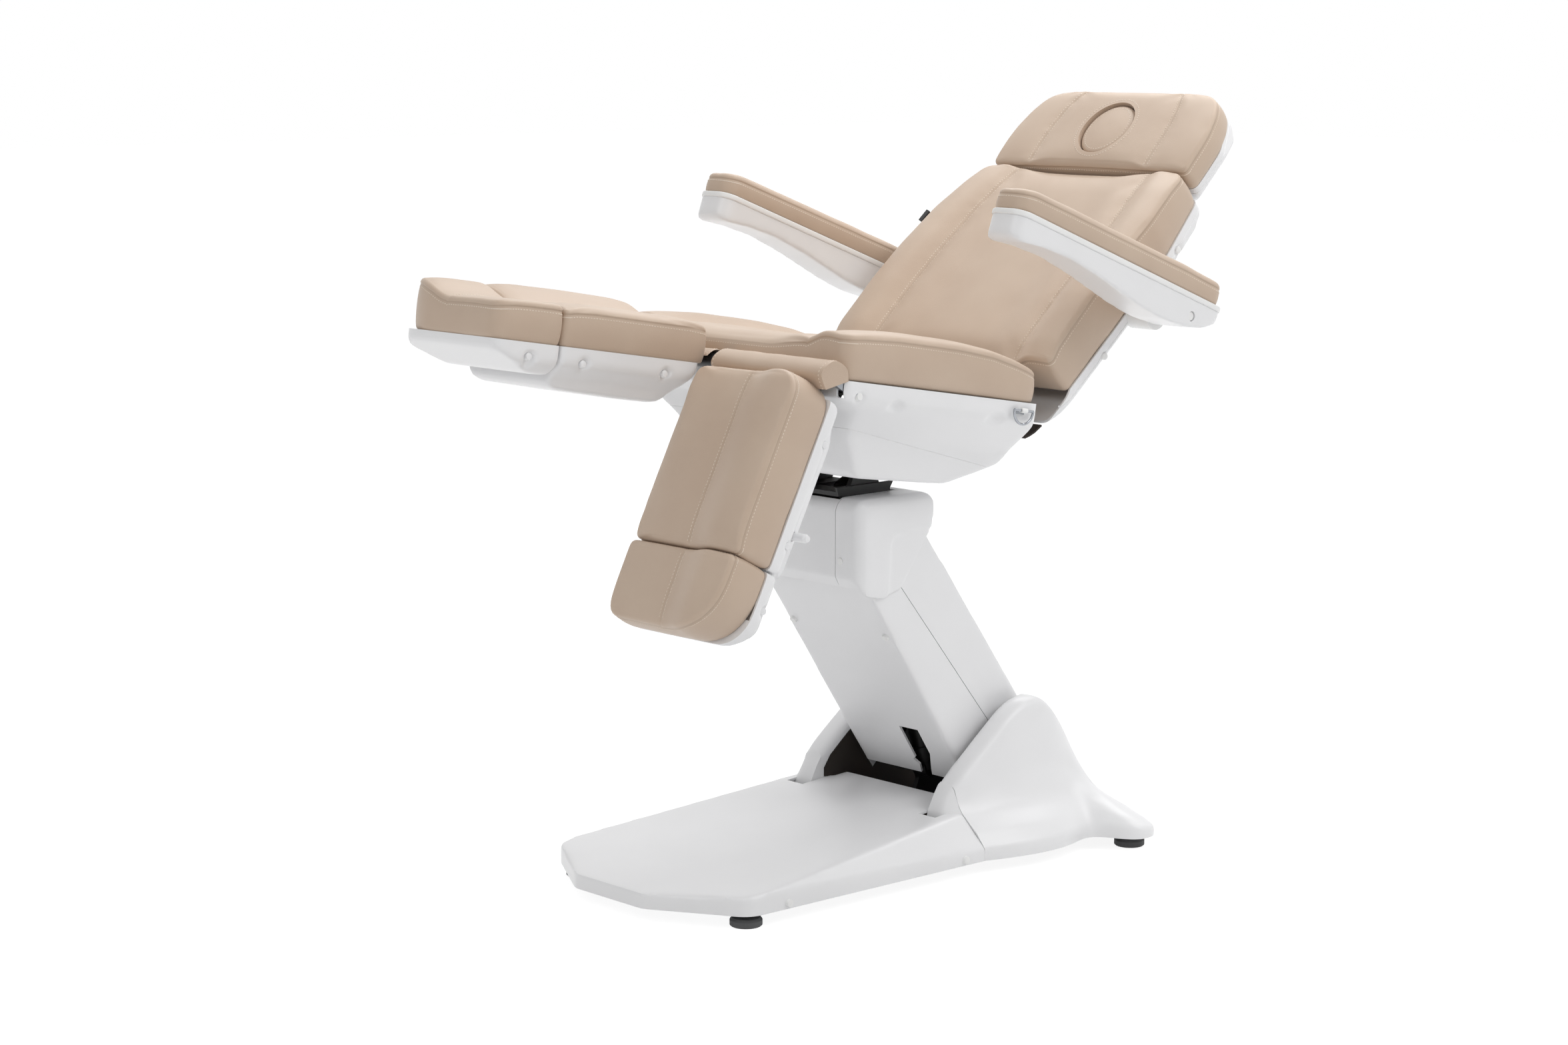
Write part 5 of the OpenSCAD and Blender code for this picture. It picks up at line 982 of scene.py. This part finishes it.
def leg_shells():
    side = rounded([(-42, 14), (-42, -22), (-62, -54), (-94, -82), (-130, -86), (-322, -80),
                    (-341, -72), (-341, 14)], [0, 14, 26, 26, 40, 12, 8, 0])
    across = rounded([(8, 14), (8, -36), (34, -60), (42, -84), (237, -84), (253, -56), (283, -30),
                      (283, 14)], [0, 12, 12, 8, 8, 16, 10, 0])
    foot_side = rounded([(-344, 14), (-344, -58), (-392, -59), (-477, -23), (-477, 14)],
                        [0, 10, 50, 9, 0])
    foot_plan = rounded([(-344, 8), (-344, 283), (-477, 283), (-477, 8)], [0, 0, 84, 20], 10)
    foot_across = rounded([(8, 14), (8, -38), (30, -60), (246, -60), (283, -30), (283, 14)],
                          [0, 12, 14, 14, 14, 0])
    for s in (-1, 1):
        cores = [rod("x", 6.4, -360, -319, (y, -23)) for y in (95, 185)]
        cores += [box((-58, -30), (58, 76), (-36, 10)), box((-58, -30), (204, 222), (-36, 10)),
                  rod("y", 8.5, 193, 300, (-265, -62))]
        pockets = [ball((x, y, z), size) for x in (-112, -290) for y in (2, 291)
                   for z, size in ((-34, (14, 19, 12)), (-56, (16, 21, 24)))]
        shell = mould([prism(side, "y", 0, 290), prism(across, "x", -370, 0)], 4.0, 10,
                      [((0, 0, -8), (0, 0, 1))], cores=cores, pockets=pockets,
                      extra=[flange([(-341, 8), (-341, 283), (-42, 283), (-42, 8)], [6, 6, 6, 6])])
        bits = merged([cap((x, y, -33), (0, way, 0.2), 6.5) for x in (-112, -290) for y,
                       way in ((17, -1), (274, 1))]
                      + [cap((-404, y, -31), (0, way, 0.2), 6.5) for y, way in ((17, -1), (274, 1))])
        placed(shell, TITLE[s] + "_leg_shell_moulding", LEG[s], "leg_" + SIDE[s],
               [SIDE[s] + "_leg_shell"], *MOULDED)
        placed(bits, TITLE[s] + "_leg_shell_caps", LEG[s], "leg_" + SIDE[s], (), *MOULDED)
        cores = [rod("x", 6.4, -387, -335, (y, -23)) for y in (95, 185)]
        pockets = [ball((-404, y, z), size) for y in (2, 291) for z,
                   size in ((-32, (14, 19, 11)), (-48, (15, 21, 18)))]
        foot = mould([prism(foot_side, "y", 0, 290), prism(foot_plan, "z", -70, 20),
                      prism(foot_across, "x", -480, -340)],
                     4.0, 9, [((0, 0, -8), (0, 0, 1))], cores=cores, pockets=pockets,
                     extra=[flange([(-477, 8), (-477, 283), (-344, 283), (-344, 8)], [20, 84, 4, 4])])
        placed(foot, TITLE[s] + "_foot_shell_moulding", LEG[s], "footrest_" + SIDE[s],
               [SIDE[s] + "_foot_shell"], *MOULDED)


def arm_shells():
    side = rounded([(-482, 60), (-482, -8), (-462, -13), (-404, -5), (-334, -2), (-254, -8),
                    (-138, -23), (-75, -27),
                    (-6, -22), (40, -10), (76, 10), (84, 60)],
                   [0, 46, 30, 60, 80, 80, 80, 60, 40, 30, 20, 0], 8)
    plan = rounded([(-482, -40), (84, -40), (84, 40), (-482, 40)], 26, 8)
    for s in (-1, 1):
        shell = mould([prism(side, "y", -40, 40), prism(plan, "z", -60, 80)], 3.5, 12,
                      [((0, 0, 38), (0, 0, 1))], [((0, 0, 28), (0, 0, 1))], wall=3.5,
                      cores=[rod("y", 9.6, *on(s, -50, -20), (0, 0)),
                             rod("y", 9.0, *on(s, 36.4, 60), (0, 0))])
        sleeve = rod("y", 15, *on(s, -38, -4), (0, 0))
        cored(sleeve, rod("y", 9.1, *on(s, -60, -5), (0, 0)))
        lip = cored(prism(rounded([(-484, -42), (86, -42), (86, 42), (-484, 42)], 28, 8), "z", 28.5,
                          38.2),
                    prism(rounded([(-478, -36), (80, -36), (80, 36), (-478, 36)], 22, 8), "z", 20, 50))
        applied(lip, "BEVEL", width=2.2 * MM, segments=3, limit_method="ANGLE",
                angle_limit=math.radians(50))
        bits = merged([sleeve, lip, cap((0, s * 35.5, 0), (0, s, 0), 8.2, 2.6)])
        name = TITLE[s] + "_armrest_shell"
        placed(shell, name + "_moulding", ARM[s], "armrest_" + SIDE[s], [SIDE[s] + "_armrest_shell"],
               *MOULDED)
        placed(bits, name + "_sleeve", ARM[s], "armrest_" + SIDE[s], (), "cover_white", CAPS, 38)


def handset_hook():
    """A bent steel strip on the back's far edge."""
    strip = prism(rounded([(277, -28), (284, -28), (284, 70), (288, 74), (286.5, 76), (281.5, 72),
                           (281.5, -25.5), (277, -25.5)], [0, 4, 3, 0, 0, 3, 2, 0]), "x", 362, 390)
    placed(strip, "Handset_hook_strip", BACK, "back", ["handset_hook"], "frame_black", BLACK_PAINT, 40)


def head_shell():
    plan = rounded([(6, -239), (100, -240), (202, -196), (202, 196), (100, 240), (6, 239)],
                   [12, 70, 36, 36, 70, 12], 8)
    side = rounded([(0, 44), (4, -8), (20, -20), (166, -20), (200, 8), (200, 44)],
                   [0, 10, 14, 30, 8, 0])
    across = rounded(mirrored([(240, 44), (240, 4), (206, -20)]), [0, 26, 26, 26, 26, 0])
    cores = [prism(oval(0.6), "z", -60, 60)]
    for s in (-1, 1):
        cores.append(box((-10, 40), on(s, 66, 100), (-30, 18)))
    shell = mould([prism(plan, "z", -40, 60), prism(side, "y", -250, 250),
                   prism(across, "x", -10, 220)],
                  4.0, 10, [((0, 0, 24), (0, 0, 1))], [((0, 0, 12), (0, 0, 1))], cores=cores)
    bars = [box((10, 38), on(s, y, y + 12), (-18, 14)) for s in (-1, 1) for y in (20, 40)]
    collar = prism(oval(4.0), "z", -18, 24)
    cored(collar, prism(oval(0.6), "z", -40, 60))
    placed(shell, "Head_shell_moulding", HEAD, "head", ["head_shell"], *MOULDED)
    placed(merged([collar] + bars), "Head_shell_collar", HEAD, "head", (), *MOULDED)


def column_covers():
    side = [(-470, -91), (8, -108), (70, -110), (70, 89), (20, 87), (-470, 73)]
    across = rounded([(-COLUMN_HALF, -112), (COLUMN_HALF, -112), (COLUMN_HALF, 90), (-COLUMN_HALF, 90)],
                     [20, 20, 20, 20])
    front_seam = [(-460, -140), (35, -140), (35, -103), (20, 1), (-460, -33.4)]
    rear_seam = [(-440, -30.6), (20, 2.4), (20, 120), (-440, 120)]
    for name, seam, node in (("front", front_seam, "column_front_cover"),
            ("rear", rear_seam, "column_rear_cover")):
        body = joined(prism(side, "y", -COLUMN_HALF, COLUMN_HALF), [prism(across, "x", -480, 75)],
                      "INTERSECT")
        softened(body, 4.0, 10)
        inner = joined(prism([(-470, -86), (8, -104), (80, -106), (80, 83), (-470, 69)], "y",
                             -COLUMN_INNER, COLUMN_INNER),
                       [prism(rounded([(-COLUMN_INNER, -104), (COLUMN_INNER, -104), (COLUMN_INNER, 84),
                                       (-COLUMN_INNER, 84)], 16), "x", -490, 85)], "INTERSECT")
        joined(body, [prism(seam, "y", -150, 150)], "INTERSECT")
        joined(body, [inner], "DIFFERENCE")
        if name == "front":
            slot = prism([(-107, -69), (-107, -22), (-30, -22), (-24, -14), (-12, -24), (35, -10),
                          (45, -30), (-11, -52), (-48, -69)], "z", -150, -27)
            cored(body, slot, box((8.5, 60), (-129.4, 129.4), (-150, 0)))
            bits = [cap((-340, s * 117.5, -95.5), (0.04, 0, -1)) for s in (-1, 1)]
            placed(merged(bits), "Column_cover_caps", COLUMN, "column", (), *CAPPED)
        placed(body, "Column_%s_moulding" % name, COLUMN, "column", [node], *MOULDED)


def housing_covers():
    side = rounded([(-84, 73), (-85, -62), (-66, -95), (-20, -104), (27, -92), (95, 0), (104, 42),
                    (98, 73)], [26, 14, 22, 14, 16, 12, 16, 20])
    plan = rounded([(-84, -142), (104, -142), (104, 142), (-84, 142)], [26, 4, 4, 26])
    ends = rounded([(-142, -140), (142, -140), (142, 73), (-142, 73)], [0, 0, 18, 18])
    body = joined(prism(side, "y", -142, 142), [prism(plan, "z", -120, 90), prism(ends, "x", -100,
            120)], "INTERSECT")
    step = rounded([(-10, -125), (-2, -2), (20, 7), (125, 10), (125, -125)], [0, 16, 16, 0, 0])
    cored(body, *[prism(step, "y", *on(s, 137.6, 160)) for s in (-1, 1)])
    softened(body, 3.6, 4)
    inner = joined(prism(rounded([(-80, 68), (-81, -62), (-62, -112), (150, -112), (150, 68)],
            [22, 12, 0, 0, 0]), "y", -136, 136),
                   [prism(rounded([(-80, -134.5), (150, -134.5), (150, 134.5), (-80, 134.5)],
                                  [22, 0, 0, 22]), "z", -115, 80),
                    prism(rounded([(-136, -150), (136, -150), (136, 68), (-136, 68)], [0, 0, 14, 14]),
                          "x", -90, 160)], "INTERSECT")
    joined(body, [inner], "DIFFERENCE")
    cored(body, box((-70, 66), (-82.3, 82.3), (0, 121)))
    only(body)
    bpy.ops.object.duplicate()
    left = bpy.context.object
    only(body)
    bpy.ops.object.duplicate()
    right = bpy.context.object
    joined(body, [box((-150, 150), (-85, 85), (-150, 150))], "INTERSECT")
    placed(body, "Housing_front_moulding", HOUSING, "column_head", ["knuckle_front_cover"], *MOULDED)
    for s, half in ((-1, left), (1, right)):
        joined(half, [box((-150, 150), on(s, 86.4, 160), (-150, 150))], "INTERSECT")
        placed(half, "Housing_%s_moulding" % SIDE[s], HOUSING, "column_head",
               ["knuckle_%s_cover" % SIDE[s]], *MOULDED)
        placed(cap((-83.5, s * 98, -35), (-1, 0, 0), 6.5, 2.6), "Housing_%s_cap" % SIDE[s], HOUSING,
               "column_head", (), *CAPPED)


def base_deck():
    plan = rounded([(80, -267), (80, 267), (-485, 250), (-581, 87.5), (-581, -87.5), (-485, -250)],
                   [0, 0, 44, 34, 34, 44], 8)
    tongue = [(0, -WELL), (140, -WELL), (140, WELL), (0, WELL)]
    side = [(-600, 0), (140, 0), (140, 106), (112, 104), (55, 100), (-600, 48.5)]
    across = [(-290, 0), (290, 0), (290, 44), (266, 46), (208, 100), (190, 150), (-190, 150),
              (-208, 100), (-266, 46), (-290, 44)]
    body = joined(prism(plan, "z", 0, 200), [prism(tongue, "z", 0, 200)], "UNION")
    joined(body, [prism(side, "y", -300, 300), prism(across, "x", -610, 150)], "INTERSECT")
    softened(body, 5.0, 8)
    inner = joined(prism(rounded([(100, -263), (100, 263), (-481, 246), (-577, 87.5), (-577, -87.5),
            (-481, -246)], [0, 0, 44, 34, 34, 44], 8), "z", -20, 220),
                   [prism([(0, -145.6), (160, -145.6), (160, 145.6), (0, 145.6)], "z", -20, 220)],
                   "UNION")
    joined(inner, [prism([(-620, -30), (160, -30), (160, 102), (112, 100), (55, 96), (-620, 43.5)], "y",
                         -310, 310),
                   prism([(-300, -10), (300, -10), (300, 40), (262, 42), (205, 96), (185, 160),
                          (-185, 160), (-205, 96),
                          (-262, 42), (-300, 40)], "x", -630, 170)], "INTERSECT")
    joined(body, [prism([(-620, -300), (55, -300), (55, -WELL), (112, -WELL), (112, WELL), (55, WELL),
                         (55, 300), (-620, 300)], "z", 24, 200)], "INTERSECT")
    joined(body, [inner], "DIFFERENCE")
    cored(body, *[box((7.6, 70), on(s, WELL, 190.4), (0, 280)) for s in (1, -1)])
    placed(body, "Base_deck_moulding", Matrix(), "base", ["base_front_cover"], *MOULDED)
    bits = []
    for s in (-1, 1):
        for x in (-402, 8):
            bits.append(cap((x, s * (250 + 16 * (x + 485) / 540), 34), (0, s, 0)))
    placed(merged(bits), "Base_deck_caps", Matrix(), "base", (), *CAPPED)


# Ribs of the rear cover, front to rear. Each has its place, the ear's top (z) and shoulder (y), the
# foot of its slope (y, z) and the skirt's edge (y, z), all as shares of the cover's sizes
COVER_LENGTH, COVER_HIGH, COVER_HALF = 430.0, 280.0, 358.0
RIBS, RIB_POINTS = 62, 56
REAR = [(0.129, 0.525, 0.53, 0.590, 0.352, 0.743, 0.165), (0.181, 0.600, 0.54, 0.600, 0.358, 0.765,
        0.165),
        (0.280, 0.715, 0.54, 0.625, 0.365, 0.800, 0.165), (0.379, 0.830, 0.54, 0.640, 0.368, 0.824,
                0.165),
        (0.450, 0.915, 0.54, 0.650, 0.368, 0.832, 0.165), (0.530, 0.980, 0.54, 0.655, 0.366, 0.830,
                0.165),
        (0.600, 1.000, 0.54, 0.660, 0.362, 0.815, 0.165), (0.660, 0.980, 0.54, 0.665, 0.358, 0.795,
                0.165),
        (0.716, 0.910, 0.54, 0.670, 0.352, 0.785, 0.165), (0.765, 0.820, 0.53, 0.690, 0.345, 0.815,
                0.165),
        (0.807, 0.735, 0.52, 0.740, 0.325, 0.930, 0.160), (0.850, 0.630, 0.51, 0.790, 0.300, 0.990,
                0.155),
        (0.919, 0.430, 0.50, 0.800, 0.270, 1.000, 0.150), (0.970, 0.300, 0.49, 0.780, 0.230, 0.975,
                0.145), (1.000, 0.200, 0.48, 0.740, 0.185, 0.900, 0.140)]


def rear_section(share):
    """One rib of the rear cover, from the well's wall over the ear and down to the skirt's edge."""
    rows = np.array(REAR)
    s = [np.interp(share, rows[:, 0], rows[:, k]) for k in range(7)]
    near = [np.interp(min(1.0, max(0.129, share + d)), rows[:, 0], rows[:, k]) for d in (-0.02, 0.02)
            for k in range(7)]
    s = [(2 * s[k] + near[k] + near[k + 7]) / 4 for k in range(7)] if 0.15 < share < 0.98 else s
    top, inner, outer = COVER_HIGH * s[1], 150.0, COVER_HALF * s[2]
    foot, skirt, edge = (COVER_HALF * s[3], COVER_HIGH * s[4]), COVER_HALF * s[5], COVER_HIGH * s[6]
    crown = (outer - inner) * 0.3
    pts = [(inner, 24), (inner, top), (outer, top - crown * 0.3),
           (outer * 0.5 + foot[0] * 0.5, foot[1] + (top - foot[1]) * 0.30), foot,
           (foot[0] * 0.35 + skirt * 0.65, foot[1] * 0.45 + edge * 0.55), (skirt, edge), (skirt, 24)]
    smooth = rounded(pts, [0, crown * 1.1, crown * 1.2, 60, 50, 30, 8, 0], 8)
    path = [Vector(p) for p in smooth]
    lengths = [0.0]
    for a, b in zip(path, path[1:]):
        lengths.append(lengths[-1] + (b - a).length)
    spread = np.linspace(0, lengths[-1], RIB_POINTS)
    return list(zip(np.interp(spread, lengths, [p.x for p in path]),
                    np.interp(spread, lengths, [p.y for p in path])))


def ear_tip(s):
    """The front foot of an ear, from its first rib down to the deck."""
    ribs = [(55.4, [(150.4, 70), (150.4, 141), (157, 147.5), (170, 148.5), (182, 146), (190, 138),
                    (203, 108), (211, 97), (211, 70)]),
            (44, [(150.4, 70), (150.4, 124), (157, 130), (169, 131), (180, 129), (188, 122), (199, 102),
                  (206, 93), (206, 70)]),
            (30, [(150.4, 70), (150.4, 98), (157, 103), (168, 104), (178, 103), (186, 99), (195, 91),
                  (201, 85), (201, 70)]),
            (25, [(152, 70), (152, 86), (158, 89), (168, 89), (177, 88), (184, 86), (190, 82),
                  (194, 78), (194, 70)])]
    wide = len(ribs[0][1])
    verts = [Vector((x, s * y, z)) * MM for x, rib in ribs for y, z in rib]
    faces = [(low + k, low + (k + 1) % wide, low + wide + (k + 1) % wide, low + wide + k)
             for low in range(0, wide * (len(ribs) - 1), wide) for k in range(wide)]
    faces += [tuple(range(wide)), tuple(range(len(verts) - wide, len(verts)))]
    return skinned(verts, faces)


def rear_covers():
    bits = []
    for s in (-1, 1):
        rows = [[Vector((COVER_LENGTH * x, s * y, z)) for y, z in rear_section(x)]
                for x in np.linspace(REAR[0][0], 1.0, RIBS)]
        bpy.ops.object.select_all(action="DESELECT")
        bpy.ops.mesh.primitive_grid_add(x_subdivisions=RIB_POINTS - 1, y_subdivisions=RIBS - 1)
        obj = bpy.context.object
        for i, v in enumerate(obj.data.vertices):
            v.co = rows[i // RIB_POINTS][i % RIB_POINTS] * MM
        bm = bmesh.new()
        bm.from_mesh(obj.data)
        bm.verts.ensure_lookup_table()
        bm.faces.new([bm.verts[(RIBS - 1) * RIB_POINTS + k] for k in range(RIB_POINTS)])
        bmesh.ops.recalc_face_normals(bm, faces=bm.faces)
        if sum(f.normal.z * f.calc_area() for f in bm.faces) < 0:
            bmesh.ops.reverse_faces(bm, faces=bm.faces)
        bm.to_mesh(obj.data)
        bm.free()
        walled(obj)
        cored(obj, box((373.6, 418.4), on(s, 140, 158), (10, 40.4)))
        placed(obj, "Base_rear_%s_moulding" % SIDE[s], Matrix(), "base", ["base_rear_cover"],
               "cover_white", WHITE, 42)
        bits += [ear_tip(s), cap((70, s * 200, 99), (0, s * 0.3, 1))]
    sill = box((422, 426), (-152, 152), (24, 46))
    placed(merged(bits + [sill]), "Base_rear_ear_tips", Matrix(), "base", (), "cover_white", WHITE, 40)
    # Thin dark brown sheets over the well's side walls, front and floor: painted shade of the deep well
    side = [(113, 26), (113, 96), (62, 102), (62, 118), (78, 140), (120, 174), (163, 206), (193, 228),
            (240, 250), (300, 240), (335, 200), (365, 140), (380, 90), (380, 26)]
    walls = [prism(side, "y", *on(s, 148.2, 149.7)) for s in (-1, 1)]
    tray = merged(walls + [box((110.5, 112), (-148, 148), (26, 97)),
                           box((112, 420), (-148, 148), (25, 26.5))])
    placed(tray, "Base_well_lining", Matrix(), "base", (), "plastic_black", PAINTED_GAP_SHADE, 40)


# Leather flaps over the leg hinges
def smooth_path(points, steps=5):
    """Points on a smooth curve through the given ones."""
    pts = [Vector((*p, 0)) for p in points]
    pts = [pts[0] * 2 - pts[1]] + pts + [pts[-1] * 2 - pts[-2]]
    out = []
    for a, b, c, d in zip(pts, pts[1:], pts[2:], pts[3:]):
        for k in range(steps):
            t = k / steps
            out.append(0.5 * ((2 * b) + (c - a) * t + (2 * a - 5 * b + 4 * c - d) * t * t
                              + (3 * b - a - 3 * c + d) * t ** 3))
    return [(p.x, p.y) for p in out] + [(pts[-2].x, pts[-2].y)]


def flap(side, path, y0, y1):
    """A leather sheet from the seat's rim over the hinge, hemmed at both ends and sewn."""
    curve = smooth_path(path)
    count = 28
    bpy.ops.object.select_all(action="DESELECT")
    bpy.ops.mesh.primitive_grid_add(x_subdivisions=len(curve) - 1, y_subdivisions=count)
    obj = bpy.context.object
    wide = len(curve)
    for i, v in enumerate(obj.data.vertices):
        x, z = curve[i % wide]
        t = (i // wide) / count
        y = y0 + (y1 - y0) * t
        sag = noise.noise(Vector((x * 0.02, y * 0.03, side))) * 1.1
        v.co = Vector((x, y, z + sag * math.sin(math.pi * (i % wide) / (wide - 1)))) * MM
    applied(obj, "SOLIDIFY", thickness=2.2 * MM, offset=0.0)
    outward(obj)
    applied(obj, "SUBSURF", levels=1, render_levels=1)
    obj.data.attributes.new("crease", "FLOAT", "POINT")
    tree = surface_of(obj)
    spots = []
    for y in (y0 + 6, y1 - 6):
        rim = [Vector((x, y, z)) for x, z in curve]
        for spot, run in along(rim):
            way = run.cross(Vector((0, 1, 0))).normalized()
            for sign in (1, -1):
                hit, normal, _, _ = tree.ray_cast(spot + way * sign * 6, -way * sign, 12)
                if hit:
                    spots.append((hit, run, normal))
    name = TITLE[side] + "_hinge_flap_leather"
    thread = thread_mesh(spots)
    placed(obj, name, SEAT, None, [SIDE[side] + "_flap"], *COVERED)
    placed(thread, name + "_stitching", SEAT, None, (), *SEWN)
    gusset = prism(curve, "y", *((y0 - 0.6, y0 + 0.6) if side < 0 else (y1 - 0.6, y1 + 0.6)))
    gusset.data.attributes.new("crease", "FLOAT", "POINT")
    placed(gusset, TITLE[side] + "_hinge_gusset_leather", SEAT, None, (), *COVERED)
    for piece in (obj, thread, gusset):
        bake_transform(piece)


def flaps():
    """The leather between the hinges and the two flaps over them."""
    panel = prism(rounded([(-285, 104), (-281, 104), (-281, 147), (-285, 147)], 1.5, 3), "y", -47, 47)
    panel.data.attributes.new("crease", "FLOAT", "POINT")
    placed(panel, "Seat_front_panel_leather", SEAT, "seat", (), *COVERED)
    flap(-1, [(-270, 141), (-276, 160), (-294, 170), (-310, 170), (-326, 160), (-333, 148), (-329, 137),
              (-319, 123)], 4 - SEAT_HALF, -SPLIT - 4)
    flap(1, [(-280, 143), (-282, 157), (-290, 167), (-303, 168), (-313, 163), (-321, 156)],
         SPLIT + 4, SEAT_HALF - 4)


# Finishes of the frame's own nodes
def finishes():
    """Gives the frame's own solids their materials."""
    by_slot = {"cover_white": WHITE, "leather_tan": LEATHER, "frame_black": BLACK_PAINT, "steel": STEEL,
               "chrome": CHROME, "rubber_grey": RUBBER, "plastic_black": NYLON}
    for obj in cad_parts.values():
        for spot in obj.material_slots:
            found = [m for key, m in by_slot.items()
                     if spot.material and spot.material.name.startswith(key)]
            if found:
                spot.material = found[0]
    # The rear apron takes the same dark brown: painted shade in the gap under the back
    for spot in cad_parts["rear_apron"].material_slots:
        spot.material = PAINTED_GAP_SHADE


# Studio
def seen_directly(tree):
    """1 for rays that show the backdrop itself, 0 for the light that it throws."""
    path = add(tree, "ShaderNodeLightPath")
    seen = add(tree, "ShaderNodeMath", [(0, path, "Is Camera Ray"), (1, path, "Is Glossy Ray")],
               operation="MAXIMUM")
    return add(tree, "ShaderNodeMath", [(0, seen, 0), (1, path, "Is Transmission Ray")],
               operation="MAXIMUM")


def studio():
    """White room, pale floor and three soft lights."""
    world = bpy.data.worlds.new("Studio_white")
    bpy.context.scene.world = world
    world.use_nodes = True
    tree = world.node_tree
    sky = tree.nodes["Background"]
    span = add(tree, "ShaderNodeMapRange", [("Value", seen_directly(tree), 0)])
    span.inputs["To Min"].default_value, span.inputs["To Max"].default_value = 0.42, 1.0
    tree.links.new(span.outputs["Result"], sky.inputs["Strength"])
    sky.inputs["Color"].default_value = (1, 1, 1, 1)

    mat, tree, shader = surface("Pale_studio_floor", "#F4F4F4", 0.7)
    place = add(tree, "ShaderNodeTexCoord")
    grain = add(tree, "ShaderNodeTexNoise", [("Vector", place, "Object")], in_Scale=30.0)
    relief(tree, shader, grain, "Fac", 0.0002, 0.1)
    glow = add(tree, "ShaderNodeEmission", in_Color=(1, 1, 1, 1), in_Strength=0.88)
    half = add(tree, "ShaderNodeBsdfDiffuse", in_Color=(0.35, 0.35, 0.35, 1))
    both = add(tree, "ShaderNodeAddShader", [(0, glow, 0), (1, half, 0)])
    mix = add(tree, "ShaderNodeMixShader", [(0, seen_directly(tree), 0), (1, shader, "BSDF"),
            (2, both, 0)])
    tree.links.new(mix.outputs[0], tree.nodes["Material Output"].inputs["Surface"])
    bpy.ops.object.select_all(action="DESELECT")
    bpy.ops.mesh.primitive_plane_add(size=60)
    floor = bpy.context.object
    floor.name = "Studio_floor"
    floor.data.materials.append(mat)

    for name, at, size, power, target in (
            ("Key_softbox", (1.6, -3.8, 4.4), 3.2, 88, (0, 0, 0.6)),
            ("Left_softbox", (-4.4, -0.8, 3.6), 3.2, 42, (-0.2, 0, 0.8)),
            ("Top_softbox", (1.7, 0.6, 3.9), 3.4, 96, (0, 0, 0.3))):
        data = bpy.data.lights.new(name, "AREA")
        data.shape, data.size, data.energy = "SQUARE", size, power
        lamp = bpy.data.objects.new(name, data)
        bpy.context.scene.collection.objects.link(lamp)
        lamp.location = at
        lamp.rotation_euler = (Vector(target) - Vector(at)).to_track_quat("-Z", "Y").to_euler()


def camera():
    """The photograph's camera."""
    photo_width, photo_focus = 2352, 4726
    data = bpy.data.cameras.new("Photo_camera")
    data.sensor_width, data.lens = 36.0, photo_focus * 36.0 / photo_width
    cam = bpy.data.objects.new("Photo_camera", data)
    bpy.context.scene.collection.objects.link(cam)
    ahead = Vector((0.6729, 0.7230, -0.1564)).normalized()
    across = Vector((0.7320, -0.6813, 0)).normalized()
    up = across.cross(ahead)
    cam.matrix_world = Matrix((
        (across.x, up.x, -ahead.x, -3.858), (across.y, up.y, -ahead.y, -3.954),
        (across.z, up.z, -ahead.z, 1.475), (0, 0, 0, 1)))
    bpy.context.scene.camera = cam


# The scene
camera()
studio()
finishes()
for build in (base_deck, rear_covers, column_covers, housing_covers,
              seat_shell, back_shell, handset_hook, head_shell, leg_shells, arm_shells,
              seat_cushion, back_cushion, head_cushion, face_plug, leg_and_foot_cushions,
              arm_pads, flaps):
    build()

bpy.context.scene.view_settings.view_transform = "Standard"
bpy.context.view_layer.update()
